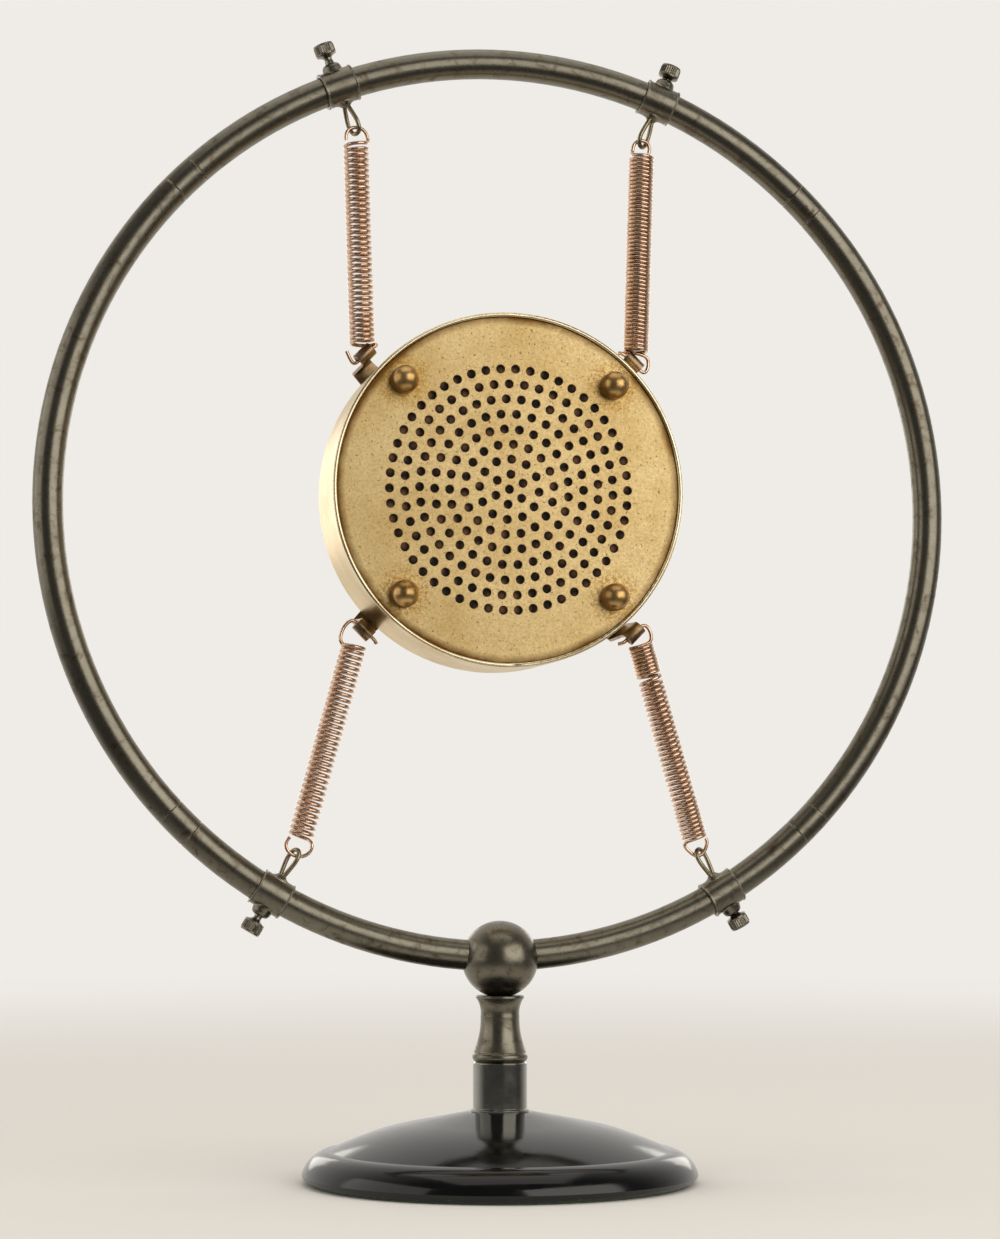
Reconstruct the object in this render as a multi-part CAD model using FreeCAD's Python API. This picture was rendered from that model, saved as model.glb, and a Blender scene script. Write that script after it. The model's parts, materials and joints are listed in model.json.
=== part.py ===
"""A desk carbon microphone: a perforated round capsule hung by four springs in a ring on a turned stand.

Millimetres. +Z is up and the grille faces -Y. The origin is the centre of the resting face under the base.
Left and right are as seen from the front, so left is -X.
"""
import FreeCAD, Part
import math
import os

V = FreeCAD.Vector
X = V(1, 0, 0)
Y = V(0, 1, 0)
Z = V(0, 0, 1)
MITRE = 1 - math.sqrt(0.5)      # how far a quarter round's middle lies from each of its tangent planes

# Fits
RUNNING = 0.05          # radial clearance of a part that turns or slides on another
SEAT_GAP = 0.15         # gap between faces that turn past each other
TIP_GAP = 0.1           # gap between a thumbscrew's tip and the ring tube
PLATE_GAP = 0.1         # radial gap round the front plate

# Base
BASE_R = 51.85
BASE_EDGE_Z = 2.4       # height of the widest point of the base
BASE_TOP_Z = 18.5
BASE_TOP_R = 8.6        # flat under the socket
BASE_SLOPE_R = 24.0     # where the straight slope turns into the rounded edge
BASE_SLOPE_DROP = 3.0
BASE_SHOULDER_R = 44.5
BASE_SHOULDER_Z = 8.6
BASE_WALL = 6.5
BASE_BOSS_R = 12.0
BASE_BOSS_Z = 7.0       # underside of the boss
BASE_EDGE_BULGE = (0.72, 0.62)  # a point of the rounded edge, as shares of its width and height
BASE_SLOPE_BULGE = 0.75 # how far the slope between centre and edge swells
BASE_RIM_CUT = 1.2      # width of the rounding under the widest point
FELT_T = 0.8
FELT_R = 49.6
EDGE = 0.3              # small rounding or chamfer on a turned part

# Stem socket and what holds it
SOCKET_R = 7.15
SOCKET_H = 13.0
SOCKET_FOOT_R = 7.75
SOCKET_FOOT_H = 0.9
SOCKET_EDGE = 0.4
SHANK_R = 4.5
SHANK_END_Z = 4.2
SOCKET_NUT_R = 8.0
SOCKET_NUT_T = 2.4

# Spindle
SPINDLE_R = 3.0
SPINDLE_WASHER_R = 6.6
SPINDLE_WASHER_T = 0.7
SPINDLE_NUT_FLATS = 9.0
SPINDLE_NUT_T = 1.9

# Neck and ball
NECK_BEAD_R = 7.27
NECK_BEAD_H = 2.1
NECK_FLARE_R = 6.95
NECK_WAIST_R = 5.12
NECK_TOP_R = 6.35
NECK_WAIST_UP = 11.6    # waist above the underside of the neck
NECK_H = 17.05
NECK_LIP_H = 0.7
NECK_BEAD_CUT = 0.5     # how far the bead rounds in at its top and bottom
NECK_HOLLOW = (0.42, 4.6)       # a point of the long hollow: out from the waist, up from the bead
BALL_R = 10.05
BALL_SINK = 0.55        # how far the ball is cut flat where it sits on the neck

# Ring
RING_R = 119.2          # to the centreline of the tube
BALL_DROP = 0.8         # ball centre below the tube's centreline
TUBE_R = 3.97
TUBE_WALL = 1.0
JOINER_L = 8.2          # part of each joiner that shows between two tubes
JOINER_PLUG_L = 7.0     # how far it reaches into each tube
JOINER_ANGLES = (45, 135, 225, 315)
SEAM_EDGE = 0.25        # chamfer at both ends of the collar that shows

# Sleeves, eyes and thumbscrews
SLEEVE_R = 4.7
SLEEVE_L = 9.0
SLEEVE_EDGE = 0.2
SLEEVE_RIM = (0.5, 0.2) # width and height of the raised rim at each end
FLARE = ((4.1, 3.3, -1.5), (3.95, 2.45, 0.05), (2.9, 1.85, 0.65), (1.85, 1.4, 1.5), (1.3, 1.25, 2.4))
                        # half length, half width and height over the sleeve, from the sleeve to the eye
BOSS_R = 2.35
BOSS_H = 1.8
BOSS_EDGE = 0.6
SCREW_R = 1.2
SCREW_NECK_R = 1.45
SCREW_HEAD_R = 2.75
SCREW_HEAD_H = 3.3
SCREW_EDGE = 0.35
EYE_WIRE_R = 0.75
EYE_WIDTH = 3.5         # across the eye, between wire centres
EYE_LENGTH = 5.4        # along the eye, between wire centres
EYE_SINK = 0.15         # how far the eye's near end sinks into its stem's head
EYE_ROOT_R = 1.25
EYE_ROOT_H = 1.0
EYE_STEM_R = 0.9
EYE_TURN = 30.0         # degrees from square to the ring
TOP_ANGLE = 21.5        # upper sleeves, degrees from straight up
BOTTOM_ANGLE = 30.5     # lower sleeves, degrees from straight down

# Springs
WIRE_R = 0.5
COIL_R = 2.95           # to the wire's centre
COIL_TURNS = 24
LOOP_R = 2.4
LOOP_STRAND = 0.3       # straight side of the end loop
LOOP_RISE = 1.6         # length of the bend from loop to coil
LOOP_FREE = 0.5         # how far the loop's free end goes past the half circle
HOOK_GAP = 0.6          # between the loop and the eye's end
HOOK_SIDE = 0.4         # how far the loop lies from the eye's middle, towards the upright through the ring
HOOK_SLIP = 1.0         # how far the hook can slide in the lug each way
HOOK_BEND_R = 1.1
HOOK_STUB_L = 2.0

# Capsule case and front plate
CAPSULE_RISE = 2.9      # capsule centre above ring centre
CASE_R = 46.8
CASE_DEPTH = 27.5
CASE_WALL = 1.2
CASE_BACK_T = 2.0
CASE_FRONT = 13.5       # front rim before the plane of the ring
CASE_BACK_EDGE = 1.0
PLATE_T = 1.2
PLATE_RECESS = 0.75
HOLE_R = 1.19
HOLE_ROW_STEP = 3.98
HOLE_ROWS = ((1, 0), (6, 24.6), (12, 25.8), (18, 4.8), (25, 8.4), (30, 0.5), (37, 4.5), (43, 6.4), (50, 0.65))

# Bolts through the capsule
BOLT_INSET = 7.2        # bolt circle inside the case's wall
BOLT_R = 1.5
BOLT_HEAD_R = 2.9
BOLT_HEAD_H = 2.2
BOLT_SLOT = 0.8         # width and depth of the slot
NUT_R = 3.6
NUT_BODY_H = 2.6
NUT_THREAD_H = 3.0
PILLAR_R = 3.2
CORNERS = (45, 135, 225, 315)

# Inside the capsule
CLAMP_INSET = 5.4       # inner edge of the clamp rings inside the bolt circle
CLAMP_GAP = 0.4         # between the clamp rings and the case's wall
FRONT_CLAMP_T = 3.0
REAR_CLAMP_T = 4.0
DIAPHRAGM_T = 0.15
SCREEN_T = 0.2
ELECTRODE_R = 7.0
ELECTRODE_T = 2.2
CUP_R = 11.0
CUP_WALL = 1.2
CUP_FLOOR_T = 1.5
GRANULE_DEPTH = 3.2
FELT_RING_T = 1.4
CUP_GAP = 0.4           # between the diaphragm and the felt ring
STEM_R = 2.0
BUSH_R = 4.5
BUSH_T = 1.5
BUSH_NECK_R = 3.2
STEM_NUT_R = 3.6
STEM_NUT_T = 2.0
STEM_PROUD = 1.0        # how far the stem stands out of its nut

# Terminals at the back
TERMINAL_X = 13.0
TERMINAL_DROP = 22.0    # below the capsule centre
TERMINAL_R = 1.5
TERMINAL_OUT = 9.5
TERMINAL_IN = 3.0
TERMINAL_COLLAR_R = 3.0
TERMINAL_COLLAR_T = 0.9
TERMINAL_NUT_R = 3.5
TERMINAL_NUT_T = 3.4
TERMINAL_GRIP = 0.6     # gap between collar and nut, for a wire
LEAD_R = 0.4
LEAD_BOW = 2.5
LEAD_GAP = 0.35         # room for solder at a lead's end
LEAD_DROP = 2.0         # where the lead meets the cup, from the cup's back

# Spring lugs
LUG_REACH = 4.8         # case's wall to the wire in the lug
LUG_T = 0.8
LUG_WIDTH = 8.0
CURL_WIDTH = 4.2
CURL_BORE_R = 1.1
CURL_SWEEP = 285.0
LUG_BEND_R = 1.2

# Side plate
SIDE_PLATE_T = 0.45
SIDE_PLATE_FROM = -27.0
SIDE_PLATE_TO = 36.0
SIDE_PLATE_FRONT = 5.0
SIDE_PLATE_BACK = 21.0

# Places that follow from the sizes
SOCKET_TOP_Z = BASE_TOP_Z + SOCKET_H
NECK_Z = SOCKET_TOP_Z + SEAT_GAP
NECK_TOP_Z = NECK_Z + NECK_H
BALL_Z = NECK_TOP_Z + BALL_R - BALL_SINK
TUBE_Z = BALL_Z + BALL_DROP
RING_Z = TUBE_Z + RING_R
CAPSULE_Z = RING_Z + CAPSULE_RISE
BOLT_CIRCLE_R = CASE_R - BOLT_INSET
LUG_CIRCLE_R = CASE_R + LUG_REACH
CLAMP_INNER_R = BOLT_CIRCLE_R - CLAMP_INSET
CLAMP_OUTER_R = CASE_R - CASE_WALL - CLAMP_GAP
RING_CENTRE = V(0, 0, RING_Z)
CAPSULE_CENTRE = V(0, 0, CAPSULE_Z)
EYE_FOOT = SLEEVE_R + FLARE[-1][2]      # tube centre to where the eye stands on the flare
EYE_END = EYE_FOOT + EYE_WIRE_R - EYE_SINK + EYE_LENGTH     # tube centre to the wire of the eye's far end
DIAPHRAGM_BACK = PLATE_RECESS + PLATE_T + FRONT_CLAMP_T + DIAPHRAGM_T       # below the front rim, as is the cup
CUP_END = DIAPHRAGM_BACK + 2 * ELECTRODE_T + GRANULE_DEPTH + CUP_FLOOR_T
HOOK_DROP = EYE_END - EYE_WIRE_R - WIRE_R - HOOK_GAP
SIDES = {
    "top_left": 90 + TOP_ANGLE,
    "top_right": 90 - TOP_ANGLE,
    "bottom_left": 270 - BOTTOM_ANGLE,
    "bottom_right": 270 + BOTTOM_ANGLE,
}
LUG_ANGLES = {"top_left": 135, "top_right": 45, "bottom_left": 225, "bottom_right": 315}
SCREW_REACH = {"top_left": 8.9, "top_right": 7.5, "bottom_left": 8.2, "bottom_right": 7.3}

parts = {}


def polar(angle, radius=1.0):
    """A point in the ring's plane, counted from +X towards +Z."""
    turn = math.radians(angle)
    return V(radius * math.cos(turn), 0, radius * math.sin(turn))


def place(shape, origin, up):
    """Move a shape so that its own +Z points along up, a direction in the ring's plane, and +Y stays +Y."""
    side = Y.cross(up)
    matrix = FreeCAD.Matrix(
        side.x, 0, up.x, origin.x,
        side.y, 1, up.y, origin.y,
        side.z, 0, up.z, origin.z,
        0, 0, 0, 1)
    moved = shape.copy()
    moved.Placement = FreeCAD.Placement(matrix).multiply(moved.Placement)
    return moved


def outline(steps):
    """A closed face in the XZ plane from corner points, with an arc wherever a middle point is given."""
    edges = []
    here = V(steps[0][0], 0, steps[0][1])
    for step in steps[1:] + steps[:1]:
        there = V(step[0], 0, step[1])
        if len(step) == 4:
            edges.append(Part.Arc(here, V(step[2], 0, step[3]), there).toShape())
        elif (there - here).Length > 1e-6:
            edges.append(Part.makeLine(here, there))
        here = there
    return Part.Face(Part.Wire(edges))


def turned(steps):
    """A body of revolution about +Z from its half outline."""
    return outline(steps).revolve(V(0, 0, 0), Z, 360)


def facing(shape, depth=0.0, centre=CAPSULE_CENTRE):
    """Turn a body modelled about +Z so that it stands on the capsule's axis, with +Z pointing to the back."""
    moved = shape.copy()
    turn = FreeCAD.Placement(centre + V(0, depth - CASE_FRONT, 0), FreeCAD.Rotation(X, -90))
    moved.Placement = turn.multiply(moved.Placement)
    return moved


def disc(radius, thick, bore=0.0):
    """A disc or ring on the plane Z = 0."""
    body = Part.makeCylinder(radius, thick)
    return body.cut(Part.makeCylinder(bore, thick)) if bore else body


def at_corners(shape):
    """Copies of a shape at the four bolt places, for a body modelled about +Z."""
    return [shape.translated(V(spot.x, spot.z, 0)) for spot in (polar(a, BOLT_CIRCLE_R) for a in CORNERS)]


def drilled(body):
    """A flat body with the four bolt holes."""
    return body.cut(Part.makeCompound(at_corners(Part.makeCylinder(BOLT_R, CASE_DEPTH))))


def ring_piece(radius, start, end):
    """A length of round bar bent to the ring, between two angles."""
    hoop = Part.Face(Part.Wire(Part.makeCircle(radius, RING_CENTRE + X * RING_R, Z)))
    bar = hoop.revolve(RING_CENTRE, Y * -1, end - start)
    bar.rotate(RING_CENTRE, Y * -1, start)
    return bar


def joined(pieces):
    return pieces[0].multiFuse(pieces[1:]).removeSplitter()


def lean(angle):
    """1 where growing angles lead to the upright through the ring, otherwise -1."""
    return -1 if angle % 180 > 90 else 1


def round_edges(body):
    """The full circles among a body's edges."""
    return [edge for edge in body.Edges if len(edge.Vertexes) == 1]


# Stand

def make_base():
    """The casting: a low dome with a rounded edge, hollow underneath, with a boss for the socket."""
    slope_z = BASE_TOP_Z - BASE_SLOPE_DROP
    edge_r = BASE_SHOULDER_R + (BASE_R - BASE_SHOULDER_R) * BASE_EDGE_BULGE[0]
    edge_z = BASE_EDGE_Z + (BASE_SHOULDER_Z - BASE_EDGE_Z) * BASE_EDGE_BULGE[1]
    swell_r = (BASE_SLOPE_R + BASE_SHOULDER_R) / 2
    swell_z = (slope_z + BASE_SHOULDER_Z) / 2 + BASE_SLOPE_BULGE
    inner_r = BASE_R - BASE_WALL
    roof_z = slope_z - BASE_WALL
    bore = SHANK_R
    parts["base_dome"] = turned([
        (bore, BASE_BOSS_Z),
        (BASE_BOSS_R, BASE_BOSS_Z),
        (BASE_BOSS_R + 1, roof_z + 1),
        (BASE_SLOPE_R, roof_z),
        (inner_r, FELT_T + 1.5, inner_r - BASE_WALL, roof_z - 0.4 * BASE_WALL),
        (inner_r, FELT_T),
        (BASE_R - BASE_RIM_CUT, FELT_T),
        (BASE_R, BASE_EDGE_Z, BASE_R - BASE_RIM_CUT / 3, FELT_T + BASE_RIM_CUT / 2),
        (BASE_SHOULDER_R, BASE_SHOULDER_Z, edge_r, edge_z),
        (BASE_SLOPE_R, slope_z, swell_r, swell_z),
        (BASE_TOP_R, BASE_TOP_Z),
        (bore, BASE_TOP_Z),
    ])
    parts["base_felt"] = disc(FELT_R, FELT_T)


def make_socket():
    """The turned socket, with a thin foot and a hollow shank that passes down through the base."""
    bore = SPINDLE_R + RUNNING
    foot_top = BASE_TOP_Z + SOCKET_FOOT_H
    parts["stem_socket"] = turned([
        (bore, SHANK_END_Z),
        (SHANK_R, SHANK_END_Z),
        (SHANK_R, BASE_TOP_Z),
        (SOCKET_FOOT_R, BASE_TOP_Z),
        (SOCKET_FOOT_R, foot_top - EDGE),
        (SOCKET_R, foot_top),
        (SOCKET_R, SOCKET_TOP_Z - SOCKET_EDGE),
        (SOCKET_R - SOCKET_EDGE, SOCKET_TOP_Z),
        (bore, SOCKET_TOP_Z),
    ])
    nut = disc(SOCKET_NUT_R, SOCKET_NUT_T, SHANK_R)
    parts["socket_nut"] = nut.translated(V(0, 0, BASE_BOSS_Z - SOCKET_NUT_T))


# Ring carrier

def make_spindle():
    """The steel spindle that the ring turns on, with the washer and nut that keep it in the socket."""
    washer_z = SHANK_END_Z - RUNNING * 2 - SPINDLE_WASHER_T
    nut_z = washer_z - SPINDLE_NUT_T
    top_z = TUBE_Z - TUBE_R - TIP_GAP
    parts["spindle"] = Part.makeCylinder(SPINDLE_R, top_z - nut_z, V(0, 0, nut_z))
    washer = disc(SPINDLE_WASHER_R, SPINDLE_WASHER_T, SPINDLE_R)
    parts["spindle_washer"] = washer.translated(V(0, 0, washer_z))
    corner_r = SPINDLE_NUT_FLATS / math.sqrt(3)
    corners = [polar(angle, corner_r) for angle in range(0, 361, 60)]
    flat = Part.Face(Part.makePolygon([V(corner.x, corner.z, nut_z) for corner in corners]))
    hexagon = flat.extrude(V(0, 0, SPINDLE_NUT_T))
    parts["spindle_nut"] = hexagon.cut(Part.makeCylinder(SPINDLE_R, SPINDLE_NUT_T, V(0, 0, nut_z)))


def make_neck():
    """The turned neck: a bead, a long hollow curve to the waist and a flare under the ball."""
    bead_top = NECK_Z + NECK_BEAD_H
    bead_in = NECK_BEAD_R - NECK_BEAD_CUT
    hollow_r = NECK_WAIST_R + NECK_HOLLOW[0]
    hollow_z = bead_top + NECK_HOLLOW[1]
    flare_r = (NECK_WAIST_R + NECK_TOP_R - EDGE) / 2 - EDGE
    waist_z = NECK_Z + NECK_WAIST_UP
    lip_z = NECK_TOP_Z - NECK_LIP_H
    parts["stem_neck"] = turned([
        (SPINDLE_R, NECK_Z),
        (bead_in, NECK_Z),
        (bead_in, bead_top, NECK_BEAD_R, (NECK_Z + bead_top) / 2),
        (NECK_FLARE_R, bead_top + EDGE),
        (NECK_WAIST_R, waist_z, hollow_r, hollow_z),
        (NECK_TOP_R - EDGE / 2, lip_z, flare_r, (waist_z + lip_z) / 2 + EDGE),
        (NECK_TOP_R, lip_z),
        (NECK_TOP_R, NECK_TOP_Z - EDGE / 2),
        (NECK_TOP_R - EDGE / 2, NECK_TOP_Z),
        (SPINDLE_R, NECK_TOP_Z),
    ])


def make_ball():
    """The ball, flat where it sits on the neck, bored across for the tube and from below for the spindle."""
    ball = Part.makeSphere(BALL_R, V(0, 0, BALL_Z))
    below = Part.makeBox(2 * BALL_R, 2 * BALL_R, BALL_R, V(-BALL_R, -BALL_R, NECK_TOP_Z - BALL_R))
    ball = ball.cut(below)
    ball = ball.cut(ring_piece(TUBE_R, 260, 280))
    parts["stem_ball"] = ball.cut(Part.makeCylinder(SPINDLE_R, BALL_Z - NECK_TOP_Z, V(0, 0, NECK_TOP_Z)))


def make_ring():
    """Four bent quarters of tube with a short joiner between each two."""
    half_gap = math.degrees(JOINER_L / 2 / RING_R)
    half_plug = half_gap + math.degrees(JOINER_PLUG_L / RING_R)
    for name, middle in (("right", 0), ("top", 90), ("left", 180), ("bottom", 270)):
        start = middle - 45 + half_gap
        end = middle + 45 - half_gap
        outside = ring_piece(TUBE_R, start, end)
        inside = ring_piece(TUBE_R - TUBE_WALL, start, end)
        parts["ring_" + name] = outside.cut(inside)
    joiners = []
    for angle in JOINER_ANGLES:
        collar = ring_piece(TUBE_R, angle - half_gap, angle + half_gap)
        collar = collar.makeChamfer(SEAM_EDGE, round_edges(collar))
        plug = ring_piece(TUBE_R - TUBE_WALL, angle - half_plug, angle + half_plug)
        joiners.append(collar.fuse(plug))
    parts["ring_joiners"] = Part.makeCompound(joiners)


# Sleeves, eyes and thumbscrews

def make_sleeve(side, angle):
    """A short rimmed tube on the ring, with a round boss outside and a flare inside that carries the eye."""
    rim_w, rim_h = SLEEVE_RIM
    tube = Part.makeCylinder(SLEEVE_R, SLEEVE_L, V(-SLEEVE_L / 2, 0, 0), X)
    rims = [Part.makeCylinder(SLEEVE_R + rim_h, rim_w, V(x, 0, 0), X) for x in (-SLEEVE_L / 2, SLEEVE_L / 2 - rim_w)]
    rims = [rim.makeFillet(SLEEVE_EDGE, round_edges(rim)) for rim in rims]
    boss_top = SLEEVE_R + BOSS_H
    boss = Part.makeCylinder(BOSS_R, boss_top)
    boss = boss.makeFillet(BOSS_EDGE, [edge for edge in round_edges(boss) if edge.BoundBox.ZMin > SLEEVE_R])
    ovals = [Part.Wire(Part.Ellipse(V(0, 0, -SLEEVE_R - height), long, wide).toShape()) for long, wide, height in FLARE]
    flare = Part.makeLoft(ovals, True)
    body = place(joined([tube, boss, flare] + rims), RING_CENTRE + polar(angle, RING_R), polar(angle))
    screw_hole = Part.makeCylinder(SCREW_R + RUNNING, 2 * SLEEVE_R)
    eye_hole = Part.makeCylinder(EYE_STEM_R, EYE_FOOT, V(0, 0, -EYE_FOOT))
    holes = place(Part.makeCompound([screw_hole, eye_hole]), RING_CENTRE + polar(angle, RING_R), polar(angle))
    half_bore = math.degrees(SLEEVE_L / RING_R)
    bore = ring_piece(TUBE_R + RUNNING, angle - half_bore, angle + half_bore)
    parts["sleeve_" + side] = body.cut([bore, holes])


def make_eye(side, angle):
    """An oval eye on a short round head, its stem riveted through the flare and the sleeve's wall."""
    half = EYE_WIDTH / 2
    straight = EYE_LENGTH - EYE_WIDTH
    top_z = -EYE_FOOT - EYE_WIRE_R + EYE_SINK
    near = V(0, 0, top_z - half)
    far = V(0, 0, top_z - half - straight)
    section = Part.Face(Part.Wire(Part.makeCircle(EYE_WIRE_R, near + Y * half, Z)))
    bend_near = section.revolve(near, X, 180)
    bend_far = section.translated(far - near).revolve(far, X * -1, 180)
    bars = [Part.makeCylinder(EYE_WIRE_R, straight, far + Y * s, Z) for s in (half, -half)]
    root = Part.makeCone(EYE_STEM_R, EYE_ROOT_R, EYE_ROOT_H, V(0, 0, -EYE_FOOT - EYE_ROOT_H))
    stem_l = EYE_FOOT - TUBE_R - 2 * RUNNING
    stem = Part.makeCylinder(EYE_STEM_R, stem_l, V(0, 0, -EYE_FOOT))
    eye = joined([bend_near, bend_far] + bars + [root, stem])
    eye.rotate(V(0, 0, 0), Z, -EYE_TURN * lean(angle))
    flare_space = Part.makeCylinder(2 * EYE_WIDTH, EYE_FOOT, V(0, 0, -EYE_FOOT))
    flare_space = flare_space.cut(Part.makeCylinder(EYE_STEM_R, EYE_FOOT, V(0, 0, -EYE_FOOT)))
    parts["eye_" + side] = place(eye.cut(flare_space), RING_CENTRE + polar(angle, RING_R), polar(angle))


def make_thumbscrew(side, angle):
    """A turned screw with a waisted neck and a drum head, its tip just off the ring tube."""
    tip = TUBE_R + TIP_GAP
    head = SCREW_REACH[side]
    top = head + SCREW_HEAD_H
    neck = SLEEVE_R + BOSS_H + EDGE
    screw = turned([
        (0, tip),
        (SCREW_R, tip),
        (SCREW_R, neck),
        (SCREW_NECK_R, head - EDGE / 3, SCREW_R, (neck + head) / 2),
        (SCREW_HEAD_R - SCREW_EDGE, head),
        (SCREW_HEAD_R, head + SCREW_EDGE),
        (SCREW_HEAD_R, top - SCREW_EDGE),
        (SCREW_HEAD_R - SCREW_EDGE, top),
        (0, top),
    ])
    parts["thumbscrew_" + side] = place(screw, RING_CENTRE + polar(angle, RING_R), polar(angle))


# Springs

def arc_between(start, along, end):
    """The edge that leaves start in the direction along and ends at end: an arc, or else a line."""
    chord = end - start
    half = chord.Length / 2
    off = along - chord * (along.dot(chord) / chord.dot(chord))
    if off.Length < 1e-5:
        return Part.makeLine(start, end)
    rise = half * math.tan(math.atan2(off.Length, along.dot(chord) / chord.Length) / 2)
    return Part.Arc(start, start + chord / 2 + off.normalize() * rise, end).toShape()


def biarc(start, along, end, onward):
    """Two arcs in line with each other that leave start along one direction and reach end along another."""
    span = end - start
    both = along + onward
    bend = 2 * (1 - along.dot(onward))
    reach = span.dot(both)
    if bend < 1e-9:
        arm = span.dot(span) / (2 * reach)
    else:
        arm = (math.sqrt(reach * reach + bend * span.dot(span)) - reach) / bend
    joint = (start + along * arm + end - onward * arm) / 2
    return [arc_between(start, along, joint), arc_between(end, onward * -1, joint)]


def coil_point(turn, pitch, base):
    """Place and direction on the coil after turn turns, counted from the +X side."""
    angle = 2 * math.pi * turn
    spot = V(COIL_R * math.cos(angle), COIL_R * math.sin(angle), base + pitch * turn)
    along = V(-COIL_R * math.sin(angle), COIL_R * math.cos(angle), pitch / (2 * math.pi))
    return spot, along.normalize()


def round_wire(edges, radius, start, along):
    """A round wire along connected edges, closed at both ends."""
    pipe = Part.BRepOffsetAPI.MakePipeShell(Part.Wire(Part.__sortEdges__(edges)))
    pipe.add(Part.Wire(Part.makeCircle(radius, start, along)))
    pipe.build()
    pipe.makeSolid()
    return pipe.shape()


def rounded_run(corners, radius):
    """Straight runs through the corners with each inner corner rounded, as lines and arcs."""
    edges = []
    here = corners[0]
    for before, corner, after in zip(corners, corners[1:], corners[2:]):
        back = (before - corner).normalize()
        ahead = (after - corner).normalize()
        half = math.acos(max(-1, min(1, back.dot(ahead)))) / 2
        cut = radius / math.tan(half)
        middle = (back + ahead).normalize()
        bulge = corner + middle * (radius / math.sin(half) - radius)
        if (corner + back * cut - here).Length > 1e-6:
            edges.append(Part.makeLine(here, corner + back * cut))
        edges.append(Part.Arc(corner + back * cut, bulge, corner + ahead * cut).toShape())
        here = corner + ahead * cut
    edges.append(Part.makeLine(here, corners[-1]))
    return edges


def spring_edges(length, lug_along, lug_out):
    """The wire's centreline from the loop's free end to the hook's stub.

    The spring runs along +Z from the eye at 0 to the lug at length. lug_along is the direction of the lug's
    bore and lug_out points out of the lug, both in the spring's own frame.
    """
    if lug_along.z < 0:
        lug_along = lug_along * -1
    near_side = -1 if lug_along.x > 0 else 1
    loop_top = LOOP_R + LOOP_STRAND
    coil_start = loop_top + LOOP_RISE
    hold = CURL_WIDTH / 2 + HOOK_SLIP + WIRE_R / 4
    first_turn = math.acos(lug_along.z)
    arm = HOOK_BEND_R * math.tan(first_turn / 2)
    lug = V(0, 0, length)
    corner = lug - lug_along * (hold + arm)
    far_corner = lug + lug_along * (hold + HOOK_BEND_R)
    stub_end = far_corner + lug_out * (HOOK_BEND_R + HOOK_STUB_L)
    strand = V(corner.x, 0, corner.z - arm - LOOP_STRAND)
    coil_end = strand.z - LOOP_RISE
    turns = COIL_TURNS + (0 if near_side < 0 else 0.5)
    pitch = (coil_end - coil_start) / turns
    edges = [
        Part.makeLine(V(-LOOP_R, 0, LOOP_R + LOOP_FREE), V(-LOOP_R, 0, LOOP_R)),
        Part.Arc(V(-LOOP_R, 0, LOOP_R), V(0, 0, 0), V(LOOP_R, 0, LOOP_R)).toShape(),
        Part.makeLine(V(LOOP_R, 0, LOOP_R), V(LOOP_R, 0, loop_top)),
    ]
    base = coil_start - pitch * 0.25
    knots = [(V(LOOP_R, 0, loop_top), Z)]
    knots += [coil_point(0.25 + n * 0.5, pitch, base) for n in range(int(2 * turns) + 1)]
    knots.append((strand, Z))
    for (start, along), (end, onward) in zip(knots, knots[1:]):
        edges += biarc(start, along, end, onward)
    edges += rounded_run([strand, corner, far_corner, stub_end], HOOK_BEND_R)
    return edges


def least_gap(edges, step=0.25):
    """The smallest gap between strands that are more than half a turn apart along the wire."""
    points = []
    travelled = 0.0
    for edge in edges:
        count = max(2, int(edge.Length / step))
        for spot in edge.discretize(count)[:-1]:
            points.append((travelled, spot))
            travelled += edge.Length / (count - 1)
    apart = math.pi * COIL_R
    gap = math.inf
    for n, (here, spot) in enumerate(points):
        for there, other in points[n + 1:]:
            if there - here > apart and abs(spot.z - other.z) < COIL_R:
                gap = min(gap, (spot - other).Length - 2 * WIRE_R)
    return gap


def make_spring(side, angle):
    """One unbroken wire: a loop through the eye, the coil and a hook through the lug."""
    eye = RING_CENTRE + polar(angle, RING_R - HOOK_DROP) + polar(angle + 90 * lean(angle), HOOK_SIDE)
    lug = CAPSULE_CENTRE + polar(LUG_ANGLES[side], LUG_CIRCLE_R)
    axis = (lug - eye).normalize()
    across = Y.cross(axis)
    bore = polar(LUG_ANGLES[side] + 90)
    out = polar(LUG_ANGLES[side])
    local = [V(d.dot(across), 0, d.dot(axis)) for d in (bore, out)]
    edges = spring_edges((lug - eye).Length, local[0], local[1])
    wire = round_wire(edges, WIRE_R, V(-LOOP_R, 0, LOOP_R + LOOP_FREE), Z * -1)
    parts["spring_" + side] = place(wire, eye, axis)
    length = round((lug - eye).Length, 2)
    print("spring", side, "length", length, "least gap to itself", round(least_gap(edges), 2))


# Capsule

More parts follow.
